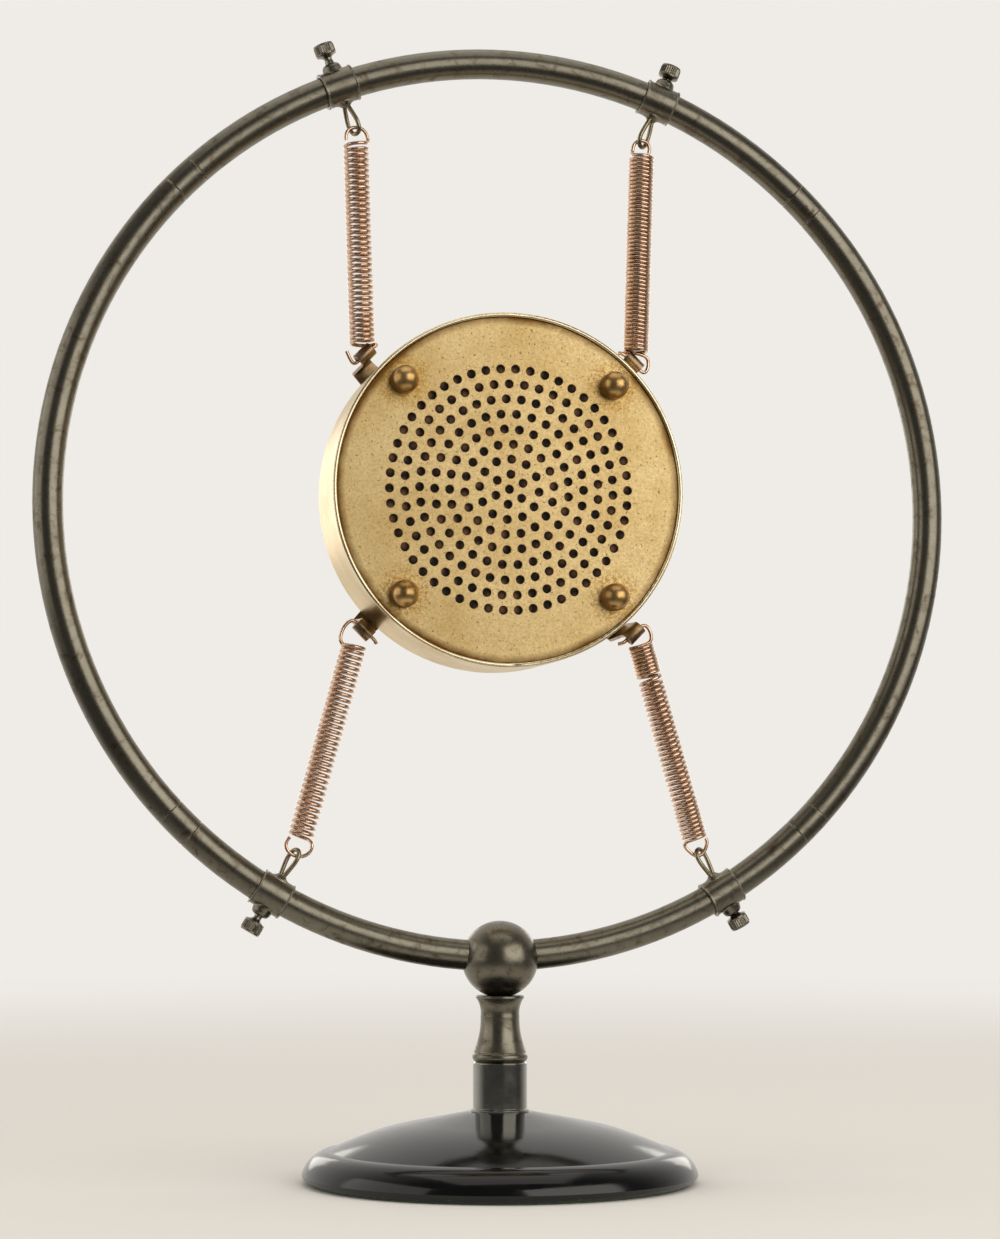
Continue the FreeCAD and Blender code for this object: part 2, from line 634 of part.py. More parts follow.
def make_case():
    """The drum: a rolled front rim, a thin wall and a back wall, drilled for bolts, button and terminals."""
    rim = CASE_WALL / 2
    wall_in = CASE_R - CASE_WALL
    edge_mid = (CASE_R - MITRE * CASE_BACK_EDGE, CASE_DEPTH - MITRE * CASE_BACK_EDGE)
    drum = turned([
        (0, CASE_DEPTH - CASE_BACK_T),
        (wall_in, CASE_DEPTH - CASE_BACK_T),
        (wall_in, rim),
        (CASE_R, rim, CASE_R - rim, 0),
        (CASE_R, CASE_DEPTH - CASE_BACK_EDGE),
        (CASE_R - CASE_BACK_EDGE, CASE_DEPTH, edge_mid[0], edge_mid[1]),
        (0, CASE_DEPTH),
    ])
    back = V(0, 0, CASE_DEPTH - CASE_BACK_T)
    holes = [hole.translated(back) for hole in at_corners(Part.makeCylinder(BOLT_R, CASE_BACK_T))]
    holes.append(Part.makeCylinder(BUSH_NECK_R, CASE_BACK_T, back))
    for spot in terminal_spots():
        holes.append(Part.makeCylinder(BUSH_NECK_R, CASE_BACK_T, back + spot))
    parts["capsule_case"] = facing(drum.cut(holes))


def make_front_plate():
    """The perforated plate: one round of holes after another, and four holes for the bolts."""
    plate_r = CASE_R - CASE_WALL - PLATE_GAP
    wires = [Part.Wire(Part.makeCircle(plate_r))]
    for row, (count, first) in enumerate(HOLE_ROWS):
        for n in range(count):
            spot = polar(first + n * 360 / count, row * HOLE_ROW_STEP)
            wires.append(Part.Wire(Part.makeCircle(HOLE_R, V(spot.x, -spot.z, 0))))
    for angle in CORNERS:
        spot = polar(angle, BOLT_CIRCLE_R)
        wires.append(Part.Wire(Part.makeCircle(BOLT_R, V(spot.x, spot.z, 0))))
    sheet = Part.makeFace(Part.makeCompound(wires), "Part::FaceMakerBullseye")
    parts["front_plate"] = facing(sheet.extrude(V(0, 0, PLATE_T)), PLATE_RECESS)


def make_inside():
    """The gauze, the diaphragm between its clamp rings, and the pillars that carry the rings."""
    depth = PLATE_RECESS + PLATE_T
    parts["dust_screen"] = facing(disc(CLAMP_INNER_R - PLATE_GAP, SCREEN_T), depth)
    parts["front_clamp_ring"] = facing(drilled(disc(CLAMP_OUTER_R, FRONT_CLAMP_T, CLAMP_INNER_R)), depth)
    depth = DIAPHRAGM_BACK - DIAPHRAGM_T
    parts["diaphragm"] = facing(drilled(disc(CLAMP_OUTER_R, DIAPHRAGM_T)), depth)
    depth = DIAPHRAGM_BACK
    parts["rear_clamp_ring"] = facing(drilled(disc(CLAMP_OUTER_R, REAR_CLAMP_T, CLAMP_INNER_R)), depth)
    parts["front_electrode"] = facing(disc(ELECTRODE_R, ELECTRODE_T), depth)
    pillar_l = CASE_DEPTH - CASE_BACK_T - depth - REAR_CLAMP_T
    pillars = at_corners(disc(PILLAR_R, pillar_l, BOLT_R))
    parts["clamp_pillars"] = facing(Part.makeCompound(pillars), depth + REAR_CLAMP_T)


def make_button():
    """The cup of carbon granules on its insulating post, closed in front by a soft ring."""
    felt = DIAPHRAGM_BACK + CUP_GAP
    parts["granule_felt"] = facing(disc(CUP_R, FELT_RING_T, ELECTRODE_R), felt)
    cup = felt + FELT_RING_T
    granules_end = DIAPHRAGM_BACK + ELECTRODE_T + GRANULE_DEPTH
    cup_in = CUP_R - CUP_WALL
    granules = disc(cup_in, granules_end - cup).cut(disc(ELECTRODE_R, DIAPHRAGM_BACK + ELECTRODE_T - cup))
    parts["carbon_granules"] = facing(granules, cup)
    electrode_end = granules_end + ELECTRODE_T
    parts["rear_electrode"] = facing(disc(cup_in, ELECTRODE_T), granules_end)
    body = disc(CUP_R, CUP_END - cup).cut(disc(cup_in, electrode_end - cup))
    parts["button_cup"] = facing(body.cut(Part.makeCylinder(STEM_R, CUP_END)), cup)
    post = CASE_DEPTH - CASE_BACK_T - CUP_END
    bush = disc(BUSH_R, post).fuse(disc(BUSH_NECK_R, CASE_BACK_T).translated(V(0, 0, post)))
    bush = bush.fuse(disc(BUSH_R, BUSH_T).translated(V(0, 0, post + CASE_BACK_T)))
    bush = bush.cut(Part.makeCylinder(STEM_R, post + CASE_BACK_T + BUSH_T))
    parts["button_bush"] = facing(bush, CUP_END)
    stem_end = CASE_DEPTH + BUSH_T + STEM_NUT_T + STEM_PROUD
    parts["button_stem"] = facing(Part.makeCylinder(STEM_R, stem_end - electrode_end), electrode_end)
    parts["button_nut"] = facing(disc(STEM_NUT_R, STEM_NUT_T, STEM_R), CASE_DEPTH + BUSH_T)


def make_bolts():
    """Four bolts from the back, through lug, case, pillar, rings and plate into domed nuts."""
    head_depth = CASE_DEPTH + LUG_T
    tip_depth = PLATE_RECESS - NUT_THREAD_H
    bolt = Part.makeCylinder(BOLT_R, head_depth - tip_depth, V(0, 0, tip_depth))
    head = Part.makeCylinder(BOLT_HEAD_R, BOLT_HEAD_H, V(0, 0, head_depth))
    slot_place = V(-BOLT_HEAD_R, -BOLT_SLOT / 2, head_depth + BOLT_HEAD_H - BOLT_SLOT)
    slot = Part.makeBox(2 * BOLT_HEAD_R, BOLT_SLOT, BOLT_SLOT, slot_place)
    parts["through_bolts"] = facing(Part.makeCompound(at_corners(bolt.fuse(head).cut(slot))))
    dome_mid = NUT_R * math.sqrt(0.5)
    dome = turned([
        (0, -NUT_BODY_H - NUT_R),
        (NUT_R, -NUT_BODY_H, dome_mid, -NUT_BODY_H - dome_mid),
        (NUT_R, -EDGE),
        (NUT_R - EDGE, 0),
        (0, 0),
    ])
    dome = dome.cut(Part.makeCylinder(BOLT_R, NUT_THREAD_H, V(0, 0, -NUT_THREAD_H)))
    parts["domed_nuts"] = facing(Part.makeCompound(at_corners(dome)), PLATE_RECESS)


def make_lug():
    """A strap that lies under a bolt head, bends forward past the case and curls round the spring's hook.

    Modelled with +X out from the capsule and +Z to the back, and with the curl's centre at the origin.
    """
    back_in = CASE_DEPTH - CASE_FRONT
    back_out = back_in + LUG_T
    pad_x = BOLT_CIRCLE_R - LUG_CIRCLE_R
    inner = CURL_BORE_R
    outer = CURL_BORE_R + LUG_T
    end = math.radians(180 + CURL_SWEEP)
    mid = math.radians(180 + CURL_SWEEP / 2)
    bend_mid = (-inner - MITRE * LUG_BEND_R, back_out - MITRE * LUG_BEND_R)
    strap = outline([
        (-outer, 0),
        (outer * math.cos(end), outer * math.sin(end), outer * math.cos(mid), outer * math.sin(mid)),
        (inner * math.cos(end), inner * math.sin(end)),
        (-inner, 0, inner * math.cos(mid), inner * math.sin(mid)),
        (-inner, back_out - LUG_BEND_R),
        (-inner - LUG_BEND_R, back_out, bend_mid[0], bend_mid[1]),
        (pad_x, back_out),
        (pad_x, back_in),
        (-outer, back_in),
    ])
    half_root = LUG_WIDTH / 2
    half_curl = CURL_WIDTH / 2
    body = strap.extrude(Y * LUG_WIDTH).translated(Y * -half_root)
    plan = [
        (-half_root, back_out),
        (-half_root, back_in - 2 * LUG_T),
        (-half_curl, outer + LUG_T / 2),
        (-half_curl, -outer),
    ]
    plan += [(-y, z) for y, z in reversed(plan)]
    corners = [V(pad_x, y, z) for y, z in plan]
    tapered = Part.Face(Part.makePolygon(corners + corners[:1])).extrude(X * (outer - pad_x))
    pad = Part.makeCylinder(half_root, LUG_T, V(pad_x, 0, back_in))
    hole = Part.makeCylinder(BOLT_R, LUG_T, V(pad_x, 0, back_in))
    return body.common(tapered).fuse(pad).cut(hole).removeSplitter()


def make_lugs():
    lug = make_lug()
    lugs = []
    for angle in CORNERS:
        spot = lug.copy()
        out = polar(angle)
        along = polar(angle + 90)
        centre = CAPSULE_CENTRE + polar(angle, LUG_CIRCLE_R)
        matrix = FreeCAD.Matrix(
            out.x, -along.x, 0, centre.x,
            0, 0, 1, 0,
            out.z, -along.z, 0, centre.z,
            0, 0, 0, 1)
        spot.Placement = FreeCAD.Placement(matrix)
        lugs.append(spot)
    parts["spring_lugs"] = Part.makeCompound(lugs)


def make_side_plate():
    """A thin bare strip bent round the right of the case."""
    strip = outline([
        (CASE_R, SIDE_PLATE_FRONT),
        (CASE_R + SIDE_PLATE_T, SIDE_PLATE_FRONT),
        (CASE_R + SIDE_PLATE_T, SIDE_PLATE_BACK),
        (CASE_R, SIDE_PLATE_BACK),
    ]).revolve(V(0, 0, 0), Z, SIDE_PLATE_TO - SIDE_PLATE_FROM)
    strip.rotate(V(0, 0, 0), Z, -SIDE_PLATE_TO)
    parts["side_plate"] = facing(strip)


def terminal_spots():
    """Where the terminals stand, in the frame that facing turns."""
    return [V(side * TERMINAL_X, TERMINAL_DROP, 0) for side in (-1, 1)]


def make_terminals():
    """Two studs in insulating bushes, with knurled nuts and a lead from each into the capsule."""
    wall = CASE_DEPTH - CASE_BACK_T
    bush = disc(BUSH_NECK_R, CASE_BACK_T).translated(V(0, 0, wall))
    bush = bush.fuse(disc(BUSH_R, BUSH_T).translated(V(0, 0, CASE_DEPTH)))
    bush = bush.fuse(disc(BUSH_R, BUSH_T).translated(V(0, 0, wall - BUSH_T)))
    bush = bush.cut(Part.makeCylinder(TERMINAL_R, CASE_DEPTH, V(0, 0, wall - BUSH_T)))
    collar_z = CASE_DEPTH + BUSH_T
    inner_end = wall - BUSH_T - TERMINAL_IN
    stud = Part.makeCylinder(TERMINAL_R, collar_z + TERMINAL_OUT - inner_end, V(0, 0, inner_end))
    stud = stud.fuse(Part.makeCylinder(TERMINAL_COLLAR_R, TERMINAL_COLLAR_T, V(0, 0, collar_z)))
    nut = disc(TERMINAL_NUT_R, TERMINAL_NUT_T, TERMINAL_R)
    rims = [edge for edge in round_edges(nut) if edge.Curve.Radius > TERMINAL_R + EDGE]
    nut = nut.makeChamfer(EDGE, rims).translated(V(0, 0, collar_z + TERMINAL_COLLAR_T + TERMINAL_GRIP))
    for name, shape in (("terminal_bushes", bush), ("terminal_posts", stud), ("terminal_nuts", nut)):
        parts[name] = facing(Part.makeCompound([shape.translated(spot) for spot in terminal_spots()]))
    make_leads(inner_end)


def make_leads(inner_end):
    """A bowed wire from one terminal to the button's cup and from the other to a pillar."""
    first, second = terminal_spots()
    depth = inner_end + LEAD_R
    pillar = at_corners(Part.Vertex(0, 0, 0))[0].Point
    leads = []
    for spot, goal, reach, end_depth in (
            (first, V(0, 0, 0), CUP_R, CUP_END - LEAD_DROP),
            (second, V(pillar.x, pillar.y, 0), PILLAR_R, depth)):
        toward = (spot - goal).normalize()
        start = spot - toward * (TERMINAL_R + LEAD_GAP) + V(0, 0, depth)
        end = goal + toward * (reach + LEAD_GAP) + V(0, 0, end_depth)
        middle = (start + end) / 2 + toward.cross(Z) * LEAD_BOW
        bow = Part.Arc(start, middle, end).toShape()
        leads.append(round_wire([bow], LEAD_R, start, bow.tangentAt(bow.FirstParameter)))
    parts["inner_leads"] = facing(Part.makeCompound(leads))


def main():
    make_base()
    make_socket()
    make_spindle()
    make_neck()
    make_ball()
    make_ring()
    for side, angle in SIDES.items():
        make_sleeve(side, angle)
        make_eye(side, angle)
        make_thumbscrew(side, angle)
        make_spring(side, angle)
    make_case()
    make_front_plate()
    make_inside()
    make_button()
    make_bolts()
    make_lugs()
    make_side_plate()
    make_terminals()
    os.makedirs("parts", exist_ok=True)
    for name, shape in parts.items():
        solids = shape.Solids
        good = all(solid.isValid() and solid.Volume > 0 for solid in solids)
        print(name, len(solids), "solids", round(shape.Volume, 1), "mm3", "" if good else "NOT VALID")
        shape.exportStep("parts/" + name + ".step")


main()
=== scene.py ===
"""The finished look of a desk carbon microphone: a capsule hung by four springs in a ring on a stand."""

import json
import math

import bmesh
import bpy
from bpy.props import FloatProperty, FloatVectorProperty, IntProperty, PointerProperty
from mathutils import Matrix, Vector


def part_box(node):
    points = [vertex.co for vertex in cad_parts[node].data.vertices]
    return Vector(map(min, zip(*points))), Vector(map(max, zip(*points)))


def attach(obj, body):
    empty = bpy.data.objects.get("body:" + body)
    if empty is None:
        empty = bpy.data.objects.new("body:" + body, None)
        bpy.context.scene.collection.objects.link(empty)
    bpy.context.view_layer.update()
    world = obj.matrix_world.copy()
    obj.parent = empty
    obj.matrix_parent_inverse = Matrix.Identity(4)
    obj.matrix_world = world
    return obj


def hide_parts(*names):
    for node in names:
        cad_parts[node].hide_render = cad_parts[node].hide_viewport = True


bl_info = {
    "name": "Carbon microphone",
    "version": (1, 0, 0),
    "blender": (4, 5, 0),
    "location": "3D View > Sidebar > Microphone",
    "description": "Finishes the packed model of a desk carbon microphone",
    "category": "Object",
}

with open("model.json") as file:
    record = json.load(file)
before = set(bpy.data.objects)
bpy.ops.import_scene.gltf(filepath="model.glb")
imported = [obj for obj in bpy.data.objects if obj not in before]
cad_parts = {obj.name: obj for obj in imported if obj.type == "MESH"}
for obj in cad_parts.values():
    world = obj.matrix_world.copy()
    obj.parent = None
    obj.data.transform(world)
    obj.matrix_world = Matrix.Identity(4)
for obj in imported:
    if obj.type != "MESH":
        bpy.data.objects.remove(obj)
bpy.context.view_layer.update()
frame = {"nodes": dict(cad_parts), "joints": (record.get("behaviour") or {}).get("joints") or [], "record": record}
JOINTS = {joint["name"]: joint for joint in frame["joints"]}
RATIOS = {pair["joint"]: pair["ratio"] for pair in frame["record"]["behaviour"]["couplings"]}
SIDES = ("top_left", "top_right", "bottom_left", "bottom_right")
MM = 0.001
ALONG_Y = Vector((0, 1, 0))
LENS_MM = 87.82
NUT_RADIUS = 0.0036     # of a domed nut
SCREW_SPOT = 0.0065     # from the ring tube's middle to where a thumbscrew's joint is given
EYE_END = 0.013         # from the ring tube's middle to the wire at an eye's far end

# How far each eye is turned from square to the ring, in degrees
EYE_TURNS = {"top_left": 30, "top_right": -42, "bottom_left": -30, "bottom_right": 45}

# A lug strap's curl: how far it goes round, in degrees, and in how many stations
CURL_SWEEP, CURL_STATIONS = 285, 20

# Where the room before the object begins and ends to brighten, along a mirror ray's Y
ROOM_DARK, ROOM_PALE = -0.3, 0.8

# Sockets of a Mix node that mixes colours
FACTOR, FIRST, SECOND, MIXED = 0, 6, 7, 2

# How each spring is wound and hooked. "start" is the side where its coil begins, and "hand" is 1 for a
# right-handed coil. "coil" gives the gaps in mm that the coil leaves at the eye and at the lug, and "aim" is
# how far to the right of the lug's middle it points. "runs" are groups of turns with the relative spacing of
# each. "loop" is the wire's way through the eye from its free end, in mm to the side where it joins the coil
# and down from the eye. "hook" is its way from the coil through the lug, in mm to the right of, behind and
# above the lug's middle.
SPRINGS = {
    "top_left": {
        "start": -1, "hand": 1, "coil": (4.7, 2.6), "aim": -0.6,
        "runs": ((31, 1.0), (6, 0.9)),
        "loop": ((-2.7, 3.7), (-2.8, 3.0), (-2.6, 1.7), (-1.6, 0.5), (0, 0.2), (1.6, 0.5), (2.7, 1.7),
                 (3.1, 3.0), (3.2, 4.2)),
        "hook": ((3.2, 0.3, 3.0), (3.0, 0.2, 2.5), (2.0, 0, 2.0), (0, 0, 0), (-2.0, 0, -2.1),
                 (-3.1, 0.1, -2.7), (-3.8, 0.1, -1.7), (-4.9, 0, 0.8)),
    },
    "top_right": {
        "start": 1, "hand": -1, "coil": (4.7, 3.0), "aim": 0.7,
        "runs": ((50, 1.0),),
        "loop": ((-2.0, 3.7), (-2.3, 3.0), (-2.2, 1.7), (-1.3, 0.5), (0, 0.2), (1.3, 0.5), (2.3, 1.7),
                 (2.4, 3.0), (2.6, 4.0)),
        "hook": ((3.9, 0, 2.3), (4.3, 0, 0.5), (4.2, 0, -1.4), (3.3, 0, -2.9), (1.95, 0, -2.05), (0, 0, 0),
                 (-1.95, 0, 1.95), (-2.9, 0, 2.6), (-4.0, 0.2, 2.7)),
    },
    "bottom_left": {
        "start": 1, "hand": 1, "coil": (5.3, 4.9), "aim": -1.4,
        "runs": ((12, 1.05), (23, 0.97)),
        "loop": ((-2.8, 4.6), (-3.4, 3.6), (-3.3, 2.0), (-1.9, 0.6), (0, 0.2), (1.9, 0.6), (3.4, 2.0),
                 (3.6, 3.7), (3.2, 4.8)),
        "hook": ((-6.0, 0, -4.4), (-6.4, 0, -2.4), (-5.8, 0, 0), (-4.3, 0, 1.9), (-3.0, 0, 2.6),
                 (-1.9, 0, 1.9), (0, 0, 0), (2.0, 0, -2.0), (3.0, 0, -2.8), (3.3, 0.2, -3.7)),
    },
    "bottom_right": {
        "start": -1, "hand": 1, "coil": (4.9, 3.7), "aim": 0.9,
        "runs": ((9, 0.92), (24, 1.12), (1, 1.7), (8, 0.8)),
        "loop": ((-3.0, 4.3), (-3.3, 3.5), (-2.6, 2.1), (-1.3, 0.6), (0, 0.2), (1.3, 0.6), (2.3, 2.1),
                 (3.1, 3.5), (3.2, 4.4)),
        "hook": ((4.7, 0, -2.8), (4.9, 0, -1.0), (4.5, 0, 0.9), (3.3, 0, 2.4), (1.95, 0, 1.95), (0, 0, 0),
                 (-2.0, 0, -2.0), (-3.1, 0, -2.8), (-4.3, 0.2, -3.0)),
    },
}


# Colours and nodes

def colour(code):
    """An sRGB hex colour as linear red, green, blue and alpha."""
    shares = [int(code[i:i + 2], 16) / 255 for i in (1, 3, 5)]
    return [s / 12.92 if s <= 0.04045 else ((s + 0.055) / 1.055) ** 2.4 for s in shares] + [1]


def per_mm(size):
    """A texture's scale for features of this size in millimetres."""
    return 1000 / size


def add(tree, kind, inputs=None, **settings):
    """Add a node. Its inputs are given by socket name or number, as values or as other nodes' outputs."""
    node = tree.nodes.new("ShaderNode" + kind)
    for name, value in settings.items():
        setattr(node, name, value)
    for name, value in (inputs or {}).items():
        if isinstance(value, bpy.types.NodeSocket):
            tree.links.new(value, node.inputs[name])
        else:
            node.inputs[name].default_value = value
    return node


def new_material(name):
    """A material with an empty node tree."""
    material = bpy.data.materials.new(name)
    material.use_nodes = True
    material.node_tree.nodes.clear()
    return material, material.node_tree


# Materials

def stoved_enamel(p):
    """Black stoving enamel on a casting: mirror gloss, a faint orange peel, small grey chips at the rim."""
    material, tree = new_material("black_stoved_enamel")
    place = add(tree, "TexCoord").outputs["Object"]
    axes = add(tree, "SeparateXYZ", {0: place})
    peel = add(tree, "TexNoise", {"Vector": place, "Scale": per_mm(2.6), "Detail": 2.0, "Roughness": 0.5})
    scuff = add(tree, "TexNoise", {"Vector": place, "Scale": per_mm(9), "Detail": 6.0, "Roughness": 0.7})
    chip = add(tree, "TexNoise", {"Vector": place, "Scale": per_mm(1.3), "Detail": 3.0, "Roughness": 0.6})
    low = add(tree, "MapRange", {"Value": axes.outputs["Z"], "From Min": 0.0036, "From Max": 0.0012})
    struck = add(tree, "Math", {0: chip.outputs[0], 1: low.outputs[0]}, operation="MULTIPLY")
    bare = add(tree, "MapRange", {"Value": struck.outputs[0], "From Min": 0.635, "From Max": 0.66})
    gloss = add(tree, "MapRange", {"Value": scuff.outputs[0], "From Min": 0.35, "From Max": 0.8,
                                   "To Min": p.enamel_roughness, "To Max": p.enamel_roughness + 0.12})
    rough = add(tree, "Mix", {FACTOR: bare.outputs[0], 2: gloss.outputs[0], 3: 0.6})
    tone = add(tree, "Mix", {FACTOR: bare.outputs[0], FIRST: p.enamel, SECOND: colour("#55524c")},
               data_type="RGBA")
    height = add(tree, "Math", {0: peel.outputs[0], 1: bare.outputs[0]}, operation="SUBTRACT")
    bump = add(tree, "Bump", {"Height": height.outputs[0], "Strength": 0.05, "Distance": 0.0003})
    shader = add(tree, "BsdfPrincipled", {"Base Color": tone.outputs[MIXED], "Roughness": rough.outputs[0],
                                          "Normal": bump.outputs[0]})
    add(tree, "OutputMaterial", {"Surface": shader.outputs[0]})
    return material


def green_felt():
    """Pressed wool felt under the base: dull, with a short nap of crossing fibres."""
    material, tree = new_material("pressed_wool_felt")
    place = add(tree, "TexCoord").outputs["Object"]
    fibre = add(tree, "TexNoise", {"Vector": place, "Scale": per_mm(0.5), "Detail": 6.0, "Distortion": 1.5})
    tone = add(tree, "Mix", {FACTOR: fibre.outputs[0], FIRST: colour("#232d20"), SECOND: colour("#4f5c48")},
               data_type="RGBA")
    bump = add(tree, "Bump", {"Height": fibre.outputs[0], "Strength": 0.6, "Distance": 0.0003})
    shader = add(tree, "BsdfPrincipled", {"Base Color": tone.outputs[MIXED], "Roughness": 0.95,
                                          "Sheen Weight": 0.4, "Normal": bump.outputs[0]})
    add(tree, "OutputMaterial", {"Surface": shader.outputs[0]})
    return material


def black_nickel(p):
    """Black nickel plate on a turned socket: dark mirror with fine turning lines and a few rubbed patches."""
    material, tree = new_material("black_nickel_plate")
    place = add(tree, "TexCoord").outputs["Object"]
    flat = add(tree, "Mapping", {"Vector": place, "Scale": (0.05, 0.05, 1.0)})
    turning = add(tree, "TexNoise", {"Vector": flat.outputs[0], "Scale": per_mm(0.25), "Detail": 3.0})
    rubbed = add(tree, "TexNoise", {"Vector": place, "Scale": per_mm(4), "Detail": 5.0, "Roughness": 0.6})
    tone = add(tree, "Mix", {FACTOR: rubbed.outputs[0], FIRST: p.nickel, SECOND: colour("#a3a199")},
               data_type="RGBA")
    rough = add(tree, "MapRange", {"Value": rubbed.outputs[0], "From Min": 0.3, "From Max": 0.75,
                                   "To Min": 0.06, "To Max": 0.13})
    soft = add(tree, "Bevel", {"Radius": 0.0002}, samples=4)
    bump = add(tree, "Bump", {"Height": turning.outputs[0], "Strength": 0.03, "Distance": 0.00005,
                              "Normal": soft.outputs[0]})
    shader = add(tree, "BsdfPrincipled", {"Base Color": tone.outputs[MIXED], "Metallic": 1.0,
                                          "Roughness": rough.outputs[0], "Normal": bump.outputs[0]})
    add(tree, "OutputMaterial", {"Surface": shader.outputs[0]})
    return material


def oxidised_brass(p, name):
    """Brass tube oxidised to a gunmetal brown: soft sheen, brown stains, pale metal on rubbed edges."""
    material, tree = new_material(name)
    place = add(tree, "TexCoord").outputs["Object"]
    cloud = add(tree, "TexNoise", {"Vector": place, "Scale": per_mm(14), "Detail": 4.0, "Roughness": 0.6})
    stain = add(tree, "TexNoise", {"Vector": place, "Scale": per_mm(3.2), "Detail": 7.0, "Roughness": 0.7,
                                   "Distortion": 0.6})
    grain = add(tree, "TexNoise", {"Vector": place, "Scale": per_mm(0.5), "Detail": 3.0, "Roughness": 0.6})
    brown = add(tree, "MapRange", {"Value": stain.outputs[0], "From Min": 0.52, "From Max": 0.7})
    first = add(tree, "Mix", {FACTOR: cloud.outputs[0], FIRST: p.oxide, SECOND: p.oxide_light},
                data_type="RGBA")
    second = add(tree, "Mix", {FACTOR: brown.outputs[0], FIRST: first.outputs[MIXED], SECOND: p.oxide_stain},
                 data_type="RGBA")
    soft = add(tree, "Bevel", {"Radius": 0.0003}, samples=4)
    true = add(tree, "NewGeometry")
    turned = add(tree, "VectorMath", {0: soft.outputs[0], 1: true.outputs["Normal"]}, operation="DOT_PRODUCT")
    edge = add(tree, "MapRange", {"Value": turned.outputs["Value"], "From Min": 0.985, "From Max": 0.9})
    patchy = add(tree, "MapRange", {"Value": stain.outputs[0], "From Min": 0.36, "From Max": 0.56})
    rubbed = add(tree, "Math", {0: edge.outputs[0], 1: patchy.outputs[0]}, operation="MULTIPLY")
    nick = add(tree, "TexNoise", {"Vector": place, "Scale": per_mm(0.9), "Detail": 2.0})
    fleck = add(tree, "MapRange", {"Value": nick.outputs[0], "From Min": 0.75, "From Max": 0.79,
                                   "To Max": 0.5})
    worn = add(tree, "Math", {0: rubbed.outputs[0], 1: fleck.outputs[0]}, operation="MAXIMUM")
    tone = add(tree, "Mix", {FACTOR: worn.outputs[0], FIRST: second.outputs[MIXED], SECOND: p.bare_brass},
               data_type="RGBA")
    rough = add(tree, "MapRange", {"Value": stain.outputs[0], "From Min": 0.3, "From Max": 0.7,
                                   "To Min": 0.24, "To Max": 0.36})
    bump = add(tree, "Bump", {"Height": grain.outputs[0], "Strength": 0.04, "Distance": 0.0001,
                              "Normal": soft.outputs[0]})
    shader = add(tree, "BsdfPrincipled", {"Base Color": tone.outputs[MIXED], "Metallic": 1.0,
                                          "Roughness": rough.outputs[0], "Normal": bump.outputs[0]})
    add(tree, "OutputMaterial", {"Surface": shader.outputs[0]})
    return material


